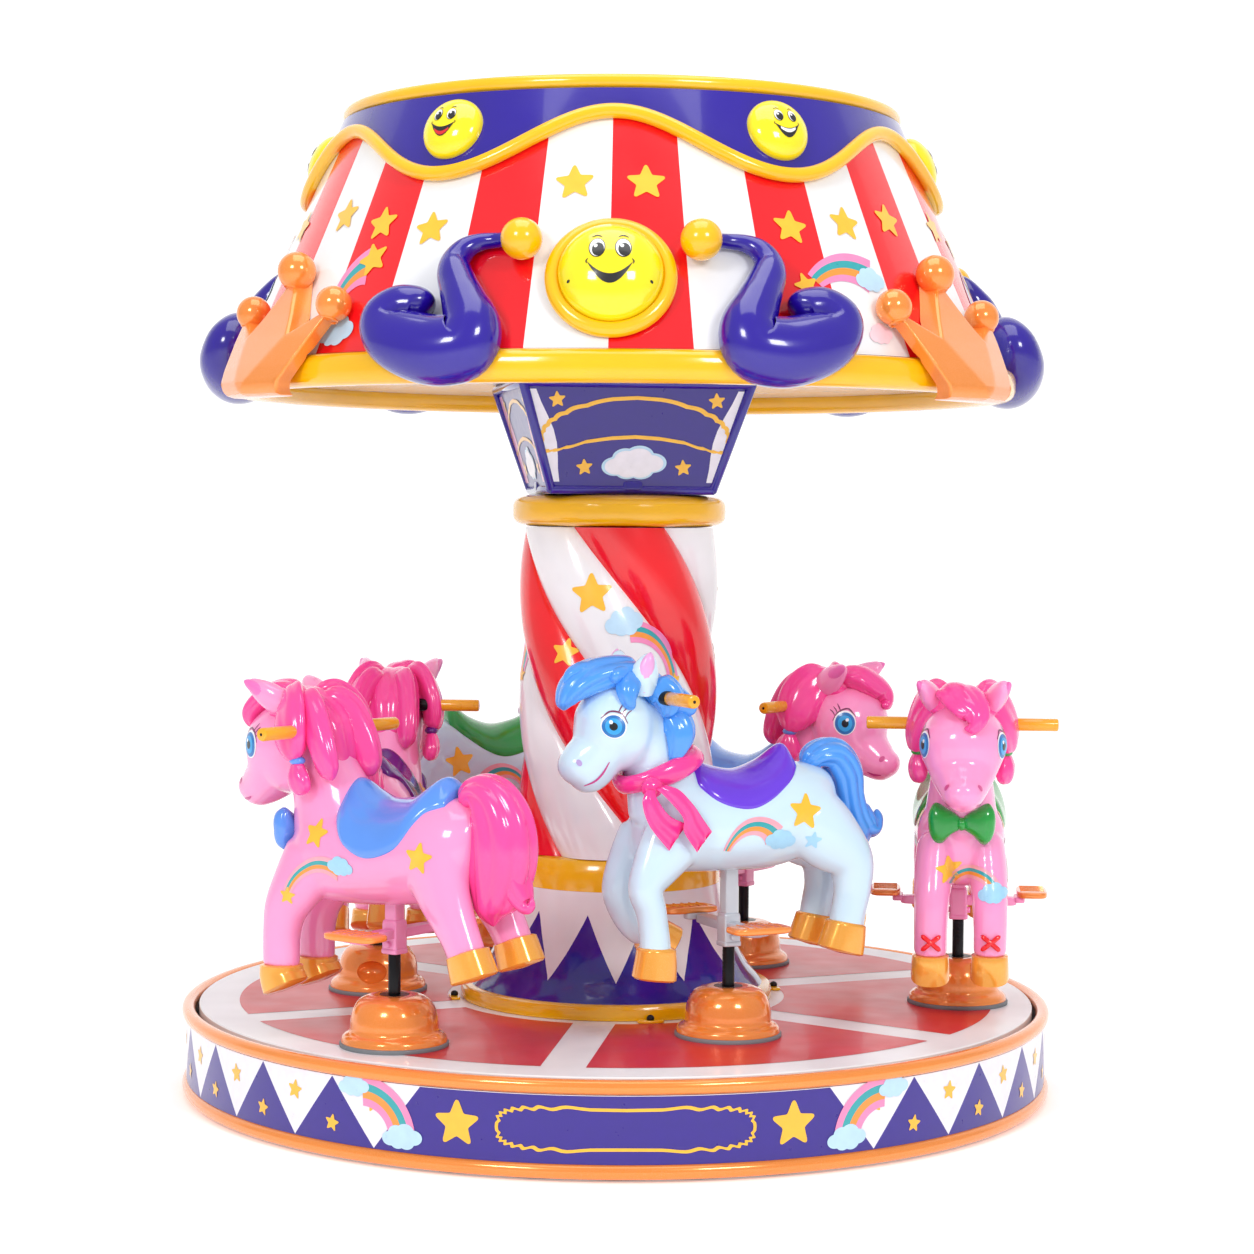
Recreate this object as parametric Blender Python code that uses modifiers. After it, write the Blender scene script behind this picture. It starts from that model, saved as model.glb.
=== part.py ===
"""Children's fairground carousel: a fixed round platform and a turning floor, column
and canopy with six ride-on horses that rise and fall on posts. Metres, +Z up."""
import math

import bmesh
import bpy
from mathutils import Matrix, Vector

# Platform
BASE_R = 1.150
RIM_TUBE = 0.0175
RIM_MID = BASE_R - RIM_TUBE
LOWER_RIM_Z = 0.0240
UPPER_RIM_Z = 0.2185
FLOOR_R = 1.105
FLOOR_TOP = 0.236
FLOOR_THICK = 0.030
STEPS = 36

# Column
RING_R = 0.415
RING_TOP = 0.275
FLARE_TOP = 0.545
BAND_TOP = 0.627
COLUMN_TOP = 1.487
COLLAR_TOP = 1.573
LOBE_CREST = 0.265
LOBE_GROOVE = 0.235
TWIST_TURN = 172.0

# Sign box under the canopy
SIGN_TOP = 1.8697
SIGN_HALF_LOW = 0.225
SIGN_HALF_HIGH = 0.310
SIGN_TURN = 9.0

# Canopy
EAVE_Z = 1.825
EAVE_R = 1.043
CROWN_Z = 2.573
CROWN_R = 0.712
SLOPE = (EAVE_R - CROWN_R) / (CROWN_Z - EAVE_Z)
TILT = math.atan(SLOPE)
SHELL = 0.015
EAVE_TUBE = 0.040
TOP_TUBE = 0.0175
TRIM_TUBE = 0.018
TRIM_MEAN = 2.400
TRIM_SWING = 0.072
CANOPY_TURN = -1.4
FASCIA = 0.008
GAP = 0.0003

# Horses
INNER_R = 0.645
OUTER_R = 0.910
HORSES = (
    ("front", INNER_R, 25.5, "trot"),
    ("left", OUTER_R, -36.0, "gallop"),
    ("right", OUTER_R, 84.0, "gallop"),
    ("back_left", INNER_R, -94.5, "gallop"),
    ("back_right", INNER_R, 145.5, "gallop"),
    ("rear", OUTER_R, -156.0, "trot"),
)
POST_R = 0.0155
POST_LOW = 0.036
BAR_R = 0.0125
GRIP_R = 0.0165

for item in list(bpy.data.objects):
    bpy.data.objects.remove(item, do_unlink=True)

PARTS = bpy.data.collections.new("carousel")
CUTTERS = bpy.data.collections.new("cutters")
bpy.context.scene.collection.children.link(PARTS)
bpy.context.scene.collection.children.link(CUTTERS)


def linear(code):
    """Linear colour of an sRGB hex code."""
    out = []
    for i in (1, 3, 5):
        c = int(code[i:i + 2], 16) / 255
        out.append(c / 12.92 if c <= 0.04045 else ((c + 0.055) / 1.055) ** 2.4)
    return (*out, 1.0)


def paint(name, code, rough=0.25, metal=0.0):
    """A Principled material of one colour."""
    mat = bpy.data.materials.new(name)
    mat.use_nodes = True
    bsdf = mat.node_tree.nodes["Principled BSDF"]
    bsdf.inputs["Base Color"].default_value = linear(code)
    bsdf.inputs["Roughness"].default_value = rough
    bsdf.inputs["Metallic"].default_value = metal
    return mat


YELLOW = paint("yellow_gelcoat", "#FFB800")
ORANGE = paint("orange_pearl", "#F58A28", 0.2, 0.3)
PURPLE = paint("purple_gelcoat", "#3A12A8")
RED = paint("red_gelcoat", "#F5121E")
WHITE = paint("white_gelcoat", "#F4F5F8")
PRINT = paint("printed_skirt", "#E9E4F5", 0.35)
BLACK = paint("black_steel", "#16161A", 0.35, 0.6)
GREY = paint("grey_steel", "#8A8C92", 0.5, 0.6)
LAMP = paint("yellow_lamp", "#FFE81A", 0.15)
PINK = paint("pink_gelcoat", "#FF9BD8")
BLUE = paint("pale_blue_gelcoat", "#CFEAFB")
GRIP = paint("mustard_grip", "#E0A41C", 0.45)


def add_mesh(name, mesh, mat, group=PARTS, place=None):
    """An object from a mesh, with its material, in a collection."""
    obj = bpy.data.objects.new(name, mesh)
    if mat is not None and not mesh.materials:
        mesh.materials.append(mat)
    group.objects.link(obj)
    if place is not None:
        obj.matrix_world = place
    if group is CUTTERS:
        obj.hide_render = True
        obj.display_type = 'WIRE'
    return obj


def from_bmesh(name, bm, mat, group=PARTS, place=None, smooth=35):
    """An object from a bmesh, shaded smooth but for sharp edges."""
    bmesh.ops.recalc_face_normals(bm, faces=bm.faces)
    mesh = bpy.data.meshes.new(name)
    bm.to_mesh(mesh)
    bm.free()
    mesh.shade_smooth()
    mesh.set_sharp_from_angle(angle=math.radians(smooth))
    return add_mesh(name, mesh, mat, group, place)


def turned(name, profile, steps, mat, closed=False, group=PARTS, place=None):
    """A turned solid: a profile of (radius, height) with a Screw modifier."""
    mesh = bpy.data.meshes.new(name)
    edges = [(i, i + 1) for i in range(len(profile) - 1)]
    if closed:
        edges.append((len(profile) - 1, 0))
    mesh.from_pydata([(r, 0, z) for r, z in profile], edges, [])
    obj = add_mesh(name, mesh, mat, group, place)
    mod = obj.modifiers.new("turn", 'SCREW')
    mod.steps = mod.render_steps = steps
    mod.use_merge_vertices = True
    mod.merge_threshold = 0.0001
    mod.use_smooth_shade = True
    return obj


def octagon(r, z, half):
    """Ring section with flats above, below and at both sides, top first, outer side down."""
    k = half * math.tan(math.pi / 8)
    pts = [(-k, half), (k, half), (half, k), (half, -k), (k, -half), (-k, -half), (-half, -k), (-half, k)]
    return [(r + a, z + b) for a, b in pts]


def loft(bm, rings):
    """Skin a closed tube over rings of points, with flat ends."""
    rows = [[bm.verts.new(p) for p in ring] for ring in rings]
    n = len(rows[0])
    for a, b in zip(rows, rows[1:]):
        for i in range(n):
            bm.faces.new((a[i], a[(i + 1) % n], b[(i + 1) % n], b[i]))
    bm.faces.new(list(reversed(rows[0])))
    bm.faces.new(rows[-1])


def closed_loft(bm, rings):
    """Skin rings of points into a loop that meets itself."""
    rows = [[bm.verts.new(p) for p in ring] for ring in rings]
    n = len(rows[0])
    for j, a in enumerate(rows):
        b = rows[(j + 1) % len(rows)]
        for i in range(n):
            bm.faces.new((a[i], a[(i + 1) % n], b[(i + 1) % n], b[i]))


def limb(stations, sides, y_sign=1.0):
    """Rings for a soft limb. A station is (x, y, z, half width, half depth); rings stand
    square to the path through the stations."""
    pts = [Vector((s[0], s[1] * y_sign, s[2])) for s in stations]
    rings = []
    for i, p in enumerate(pts):
        along = (pts[min(i + 1, len(pts) - 1)] - pts[max(i - 1, 0)]).normalized()
        side = Vector((0, 1, 0))
        side = (side - along * side.dot(along)).normalized()
        up = along.cross(side)
        w, d = stations[i][3], stations[i][4]
        rings.append([p + side * (w * math.cos(t)) + up * (d * math.sin(t))
                      for t in (2 * math.pi * (k + 0.5) / sides for k in range(sides))])
    return rings


def limb_object(name, stations, sides, y_sign=1.0):
    bm = bmesh.new()
    loft(bm, limb(stations, sides, y_sign))
    return from_bmesh(name, bm, None, CUTTERS)


def ball(name, centre, size, group=CUTTERS, mat=None, level=2, place=None):
    """An icosphere squashed to three half sizes."""
    bm = bmesh.new()
    bmesh.ops.create_icosphere(bm, subdivisions=level, radius=1.0)
    bmesh.ops.scale(bm, vec=size, verts=bm.verts)
    bmesh.ops.translate(bm, vec=centre, verts=bm.verts)
    return from_bmesh(name, bm, mat, group, place)


def box(name, low, high, group=CUTTERS, mat=None, place=None):
    bm = bmesh.new()
    bmesh.ops.create_cube(bm, size=1.0)
    bmesh.ops.scale(bm, vec=[b - a for a, b in zip(low, high)], verts=bm.verts)
    bmesh.ops.translate(bm, vec=[(a + b) / 2 for a, b in zip(low, high)], verts=bm.verts)
    return from_bmesh(name, bm, mat, group, place)


def rod(name, a, b, r, sides=12, group=CUTTERS, mat=None):
    """A straight bar between two points."""
    a, b = Vector(a), Vector(b)
    bm = bmesh.new()
    bmesh.ops.create_cone(bm, cap_ends=True, segments=sides, radius1=r, radius2=r, depth=(b - a).length)
    turn = (b - a).to_track_quat('Z', 'Y').to_matrix().to_4x4()
    bmesh.ops.transform(bm, matrix=Matrix.Translation((a + b) / 2) @ turn, verts=bm.verts)
    return from_bmesh(name, bm, mat, group)


def joined(name, first, others, mat, cut=(), group=PARTS, place=None):
    """One mesh from a union of helpers, less the cutters, with the helpers removed."""
    for op, objs in (('UNION', others), ('DIFFERENCE', cut)):
        for other in objs:
            mod = first.modifiers.new("join", 'BOOLEAN')
            mod.operation = op
            mod.solver = 'EXACT'
            mod.object = other
    bpy.context.view_layer.update()
    mesh = bpy.data.meshes.new_from_object(first.evaluated_get(bpy.context.evaluated_depsgraph_get()))
    mesh.name = name
    mesh.materials.clear()
    bm = bmesh.new()
    bm.from_mesh(mesh)
    bmesh.ops.transform(bm, matrix=first.matrix_world, verts=bm.verts)
    bmesh.ops.remove_doubles(bm, verts=bm.verts, dist=0.00002)
    bmesh.ops.dissolve_degenerate(bm, edges=bm.edges, dist=0.00002)
    keep_largest(bm)
    bm.to_mesh(mesh)
    bm.free()
    mesh.shade_smooth()
    mesh.set_sharp_from_angle(angle=math.radians(35))
    for helper in [first, *others]:
        bpy.data.objects.remove(helper, do_unlink=True)
    return add_mesh(name, mesh, mat, group, place)


def keep_largest(bm):
    """Drop the chips that a cut leaves loose."""
    bm.verts.index_update()
    seen, groups = set(), []
    for vert in bm.verts:
        if vert.index in seen:
            continue
        stack, group = [vert], []
        seen.add(vert.index)
        while stack:
            v = stack.pop()
            group.append(v)
            for edge in v.link_edges:
                o = edge.other_vert(v)
                if o.index not in seen:
                    seen.add(o.index)
                    stack.append(o)
        groups.append(group)
    groups.sort(key=len)
    for group in groups[:-1]:
        bmesh.ops.delete(bm, geom=group, context='VERTS')


def cone_r(z):
    """Outer radius of the canopy at a height."""
    return EAVE_R - (z - EAVE_Z) * SLOPE


def around(az, r, z):
    """Point at an angle from the front (-Y), turning towards +X."""
    a = math.radians(az)
    return Vector((r * math.sin(a), -r * math.cos(a), z))


def on_cone(az, z, lift=0.0):
    """Frame on the canopy: X along the ring, Y up the slope, Z outwards."""
    e = TILT
    cols = Matrix(((1, 0, 0, 0), (0, math.sin(e), -math.cos(e), -cone_r(z)),
                   (0, math.cos(e), math.sin(e), z), (0, 0, 0, 1)))
    return Matrix.Rotation(math.radians(az), 4, 'Z') @ cols @ Matrix.Translation((0, 0, lift))


def trim_z(az):
    """Height of the wavy trim: crests at the canopy's front and each 60 degrees."""
    return TRIM_MEAN + TRIM_SWING * math.cos(math.radians(6 * (az - CANOPY_TURN)))


def platform():
    """Fixed platform: flat disc with a bearing pedestal, two rim tubes and the skirt wall."""
    floor_low = FLOOR_TOP - FLOOR_THICK
    half = RIM_TUBE
    edge = RIM_MID - half - GAP
    turned("base_frame", [(0, floor_low - GAP), (0.22, floor_low - GAP), (0.22, 0.030), (edge, 0.030),
                          (edge, 0.0), (0, 0.0)], STEPS, GREY)
    turned("lower_rim", octagon(RIM_MID, LOWER_RIM_Z, half), STEPS, ORANGE, True)
    turned("upper_rim", octagon(RIM_MID, UPPER_RIM_Z, half), STEPS, ORANGE, True)
    low, high = LOWER_RIM_Z + half + GAP, UPPER_RIM_Z - half - GAP
    turned("skirt_wall", [(RIM_MID - 0.006, high), (RIM_MID + 0.006, high), (RIM_MID + 0.006, low),
                          (RIM_MID - 0.006, low)], STEPS, PRINT, True)


def floor_and_column():
    """Turning floor disc, flared column foot, twisted column and collar."""
    low = FLOOR_TOP - FLOOR_THICK
    turned("floor_disc", [(0, FLOOR_TOP), (FLOOR_R, FLOOR_TOP), (FLOOR_R, low), (0, low)], STEPS, WHITE)
    foot = FLOOR_TOP + GAP
    turned("column_foot", [(0, FLARE_TOP), (0.276, FLARE_TOP), (0.288, 0.47), (0.315, 0.39), (0.345, 0.33),
                           (0.385, 0.284), (0.390, RING_TOP), (RING_R - 0.006, RING_TOP),
                           (RING_R, RING_TOP - 0.008), (RING_R, foot), (0, foot)], 24, PURPLE)
    turned("column_band", [(0, BAND_TOP), (0.262, BAND_TOP), (0.272, BAND_TOP - 0.02),
          (0.276, FLARE_TOP + GAP),
                           (0, FLARE_TOP + GAP)], 24, ORANGE)
    bm = bmesh.new()
    rings = []
    levels, count = 9, 24
    for j in range(levels):
        t = j / (levels - 1)
        z = BAND_TOP + GAP + t * (COLUMN_TOP - BAND_TOP - 2 * GAP)
        turn = math.radians((1 - t) * TWIST_TURN)
        ring = []
        for i in range(count):
            a = 2 * math.pi * i / count
            lobe = abs(math.cos(3 * (a - math.radians(0))))
            r = LOBE_GROOVE + (LOBE_CREST - LOBE_GROOVE) * lobe
            ring.append(around(math.degrees(a + turn), r, z))
        rings.append(ring)
    loft(bm, rings)
    from_bmesh("twisted_column", bm, RED)
    mid, half = (COLUMN_TOP + COLLAR_TOP) / 2, (COLLAR_TOP - COLUMN_TOP) / 2 - GAP
    turned("column_collar", [(0, mid + half), (0.250, mid + half), (0.276, mid + 0.028), (0.284, mid),
                             (0.276, mid - 0.028), (0.250, mid - half), (0, mid - half)], 24, YELLOW)
    bm = bmesh.new()
    rings = []
    for z, h in ((COLLAR_TOP, SIGN_HALF_LOW), (SIGN_TOP, SIGN_HALF_HIGH)):
        rings.append([Vector((x, y, z)) for x, y in ((-h, -h), (h, -h), (h, h), (-h, h))])
    loft(bm, rings)
    from_bmesh("sign_box", bm, PURPLE, place=Matrix.Rotation(math.radians(SIGN_TURN), 4, 'Z'))


def canopy():
    """Canopy shell with a closed top, ceiling, rims, fascia with its wavy trim."""
    eave_mid = EAVE_R - EAVE_TUBE
    eave_z = EAVE_Z - 0.003 + EAVE_TUBE
    turned("eave_rim", octagon(eave_mid, eave_z, EAVE_TUBE), STEPS, YELLOW, True)
    turned("ceiling", [(0, SIGN_TOP + 0.012), (eave_mid - EAVE_TUBE - GAP, SIGN_TOP + 0.012),
                       (eave_mid - EAVE_TUBE - GAP, SIGN_TOP + GAP), (0, SIGN_TOP + GAP)], STEPS, WHITE)
    low = eave_z + EAVE_TUBE + GAP
    high = CROWN_Z - 2 * TOP_TUBE
    turned("canopy_shell", [(0, high), (cone_r(high), high), (cone_r(low), low), (cone_r(low) - SHELL, low),
                            (cone_r(high - SHELL) - SHELL, high - SHELL), (0, high - SHELL)], STEPS, WHITE)
    turned("top_rim", octagon(cone_r(high) - 0.009, high + TOP_TUBE + GAP, TOP_TUBE), STEPS, ORANGE, True)

    nx, nz = math.cos(TILT), math.sin(TILT)
    bm = bmesh.new()
    rings = []
    for i in range(STEPS):
        az = 360 * i / STEPS
        foot = trim_z(az) + 0.024
        ring = []
        for z, lift in ((foot, GAP), (foot, FASCIA), (high, FASCIA), (high, GAP)):
            ring.append(around(az, cone_r(z) + lift / nx, z))
        rings.append(ring)
    closed_loft(bm, rings)
    fascia = from_bmesh("fascia_core", bm, None, CUTTERS)
    faces = []
    for i in range(6):
        az = CANOPY_TURN + 30 + 60 * i
        faces.append(turned_helper("face", [(0, 0.045), (0.040, 0.038), (0.065, 0.018), (0.073, 0.004),
                                            (0.073, -0.006), (0, -0.006)], 12, on_cone(az, 2.440, FASCIA)))
    joined("fascia", fascia, faces, PURPLE)

    bm = bmesh.new()
    rings = []
    for i in range(STEPS):
        az = 360 * i / STEPS
        z = trim_z(az)
        centre_lift = TRIM_TUBE * math.cos(math.pi / 6) + GAP
        ring = []
        for k in range(6):
            t = 2 * math.pi * (k + 0.5) / 6
            out = centre_lift + TRIM_TUBE * math.cos(t)
            up = TRIM_TUBE * math.sin(t)
            ring.append(around(az, cone_r(z) - up * nz + out * nx, z + up * nx + out * nz))
        rings.append(ring)
    closed_loft(bm, rings)
    from_bmesh("wave_trim", bm, YELLOW)


def turned_helper(name, profile, steps, place):
    """A turned helper as a plain mesh, for joining."""
    obj = turned(name, profile, steps, None, group=CUTTERS)
    bpy.context.view_layer.update()
    mesh = bpy.data.meshes.new_from_object(obj.evaluated_get(bpy.context.evaluated_depsgraph_get()))
    bpy.data.objects.remove(obj, do_unlink=True)
    mesh.transform(place)
    return add_mesh(name, mesh, None, CUTTERS)


def eave_cutter(gap):
    """Inside of the eave rim and what lies over it, down to the rim's underside."""
    z = EAVE_Z - 0.003 + EAVE_TUBE
    ring = octagon(EAVE_R - EAVE_TUBE, z, EAVE_TUBE + gap)
    outer = [p for p in ring if p[0] > EAVE_R - EAVE_TUBE]
    prof = [(0, z + EAVE_TUBE + gap), *outer, (0, z - EAVE_TUBE - gap)]
    return turned_helper("eave_cut", prof, STEPS, Matrix.Identity(4))


def upper_cutter(gap):
    """The canopy's outside from the eave rim upwards."""
    low, high = EAVE_Z - 0.003 + EAVE_TUBE, CROWN_Z + 0.2
    prof = [(0, high), (cone_r(high) + gap, high), (cone_r(low) + gap, low), (0, low)]
    return turned_helper("upper_cut", prof, STEPS, Matrix.Identity(4))


HORN = (
    (-14.2, 2.159, 0.930, 0.020), (-17.5, 2.159, 0.917, 0.020), (-21.6, 2.142, 0.932, 0.026),
    (-22.5, 2.100, 0.960, 0.037),
    (-20.6, 2.041, 1.000, 0.048), (-18.2, 1.965, 1.034, 0.066), (-18.6, 1.905, 1.048, 0.084),
    (-21.8, 1.882, 1.055, 0.091), (-25.9, 1.908, 1.056, 0.081), (-29.0, 1.955, 1.044, 0.063),
    (-28.6, 2.000, 1.022, 0.048), (-26.1, 1.985, 1.016, 0.036))


def canopy_trims():
    """Dome lamps, crowns and curled horns seated on the canopy and its eave rim."""
    upper, eave = upper_cutter(GAP), eave_cutter(GAP)
    lamp = [(0, 0.100), (0.045, 0.094), (0.085, 0.076), (0.112, 0.044), (0.120, 0.022), (0.136, 0.024),
            (0.150, 0.014), (0.155, 0.0), (0.155, -0.020), (0, -0.020)]
    for i in range(3):
        dome = turned_helper("dome", lamp, 16, on_cone(CANOPY_TURN + 120 * i, 2.064, 0.008))
        joined("dome_lamp_%d" % (i + 1), dome, [], LAMP, [upper])

    for i, az in enumerate((CANOPY_TURN + 54, 180, CANOPY_TURN - 54)):
        bm = bmesh.new()
        rings = []
        for d in (-7.8, -4, 0, 4, 7.8):
            rings.append([around(az + d, r, z) for r, z in
                          ((1.015, 1.800), (1.105, 1.796), (1.126, 1.835), (1.100, 1.905), (1.005, 1.925))])
        loft(bm, rings)
        base = from_bmesh("crown_base", bm, None, CUTTERS)
        bits = []
        for low, high, d, tip, r, rr in ((-7.6, -1.5, -12, 2.019, 1.000, 0.044),
                                        (-4.6, 4.6, 0, 2.112, 0.967, 0.048),
                                         (1.5, 7.6, 12, 2.019, 1.000, 0.044)):
            bm = bmesh.new()
            loft(bm, [[around(az + e, q, 1.850) for e, q in ((low, 1.020), (low, 1.118), (high, 1.118),
                (high, 1.020))],
                      [around(az + d * 0.96 + e, q, tip - 0.02) for e, q in
                       ((-1.3, r - 0.035), (-1.3, r + 0.018), (1.3, r + 0.018), (1.3, r - 0.035))]])
            bits.append(from_bmesh("prong", bm, None, CUTTERS))
            bits.append(ball("tip", around(az + d, r, tip), (rr, rr, rr), level=1))
        joined("crown_%d" % (i + 1), base, bits, ORANGE, [upper, eave])

    count = 0
    for az in (CANOPY_TURN, CANOPY_TURN + 120, CANOPY_TURN + 240):
        for side in (1, -1):
            count += 1
            bm = bmesh.new()
            rings = []
            pts = [around(az + side * p[0], p[2], p[1]) for p in HORN]
            for k, p in enumerate(pts):
                along = (pts[min(k + 1, len(pts) - 1)] - pts[max(k - 1, 0)]).normalized()
                out = Vector((p.x, p.y, 0)).normalized()
                out = (out - along * out.dot(along)).normalized()
                other = along.cross(out)
                rr = HORN[k][3]
                rings.append([p + out * (rr * math.cos(t)) + other * (rr * math.sin(t))
                              for t in (2 * math.pi * (m + 0.5) / 7 for m in range(7))])
            loft(bm, rings)
            horn = from_bmesh("horn_core", bm, None, CUTTERS)
            tip = ball("horn_tip", around(az + side * -12.7, 0.950, 2.159), (0.050, 0.050, 0.050), level=1)
            joined("horn_%d" % count, horn, [tip], PURPLE, [upper, eave])
    for helper in (upper, eave):
        bpy.data.objects.remove(helper, do_unlink=True)


# Horse outlines as stations (x forward, y left, z over the floor, half width, half depth)
GALLOP = {
    "torso": [(-0.290, 0, 0.500, 0.040, 0.045), (-0.250, 0, 0.500, 0.098, 0.105),
              (-0.150, 0, 0.480, 0.122, 0.140),
              (0.000, 0, 0.465, 0.122, 0.128), (0.150, 0, 0.460, 0.118, 0.128),
              (0.260, 0, 0.462, 0.104, 0.120),
              (0.325, 0, 0.465, 0.072, 0.090), (0.350, 0, 0.470, 0.030, 0.040)],
    "neck": [(0.200, 0, 0.470, 0.085, 0.130), (0.235, 0, 0.580, 0.072, 0.105),
             (0.285, 0, 0.680, 0.070, 0.090),
             (0.320, 0, 0.750, 0.060, 0.060)],
    "head": [(0.265, 0, 0.752, 0.040, 0.050), (0.300, 0, 0.725, 0.085, 0.095),
             (0.360, 0, 0.695, 0.098, 0.112),
             (0.425, 0, 0.655, 0.080, 0.092), (0.480, 0, 0.615, 0.060, 0.066),
             (0.520, 0, 0.590, 0.050, 0.047),
             (0.540, 0, 0.578, 0.022, 0.022)],
    "mane": [(0.430, 0, 0.775, 0.040, 0.030), (0.350, 0, 0.815, 0.075, 0.040),
             (0.255, 0, 0.810, 0.085, 0.045),
             (0.185, 0, 0.750, 0.080, 0.055), (0.165, 0, 0.680, 0.065, 0.050),
             (0.175, 0, 0.610, 0.030, 0.025)],
    "ear": [(0.350, 0.060, 0.785, 0.030, 0.022), (0.370, 0.080, 0.825, 0.030, 0.018),
            (0.390, 0.104, 0.866, 0.008, 0.008)],
    "tail": [(-0.240, 0, 0.560, 0.030, 0.030), (-0.300, 0, 0.625, 0.045, 0.042),
             (-0.375, 0, 0.600, 0.055, 0.060),
             (-0.405, 0, 0.500, 0.058, 0.062), (-0.385, 0, 0.390, 0.050, 0.055),
             (-0.375, 0, 0.320, 0.020, 0.022)],
    "saddle": [(-0.195, 0, 0.560, 0.100, 0.068), (-0.150, 0, 0.530, 0.128, 0.085),
               (-0.060, 0, 0.515, 0.132, 0.072),
               (0.040, 0, 0.520, 0.130, 0.068), (0.110, 0, 0.545, 0.118, 0.075),
               (0.145, 0, 0.560, 0.085, 0.050)],
    "legs": [
        [(0.215, 0.070, 0.420, 0.045, 0.070), (0.305, 0.072, 0.310, 0.042, 0.052),
         (0.325, 0.072, 0.270, 0.038, 0.045),
         (0.295, 0.072, 0.175, 0.036, 0.040), (0.285, 0.072, 0.165, 0.045, 0.060),
         (0.283, 0.072, 0.080, 0.052, 0.072)],
        [(0.230, -0.070, 0.400, 0.045, 0.070), (0.345, -0.072, 0.285, 0.040, 0.048),
         (0.362, -0.072, 0.240, 0.036, 0.042),
         (0.350, -0.072, 0.140, 0.036, 0.040), (0.348, -0.072, 0.130, 0.045, 0.058),
         (0.348, -0.072, 0.068, 0.052, 0.070)],
        [(-0.165, 0.070, 0.450, 0.050, 0.090), (-0.245, 0.072, 0.350, 0.044, 0.062),
         (-0.305, 0.072, 0.265, 0.040, 0.048),
         (-0.325, 0.072, 0.235, 0.047, 0.058), (-0.360, 0.072, 0.175, 0.052, 0.066)],
        [(-0.150, -0.070, 0.450, 0.050, 0.090), (-0.230, -0.072, 0.350, 0.044, 0.062),
         (-0.290, -0.072, 0.265, 0.040, 0.048),
         (-0.310, -0.072, 0.235, 0.047, 0.058), (-0.345, -0.072, 0.175, 0.052, 0.066)]],
    "bow": (0.358, 0.0, 0.490, 0.050, 0.060, 0.032),
    "bar": (0.210, 0.755),
    "belly": 0.345,
}
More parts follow.
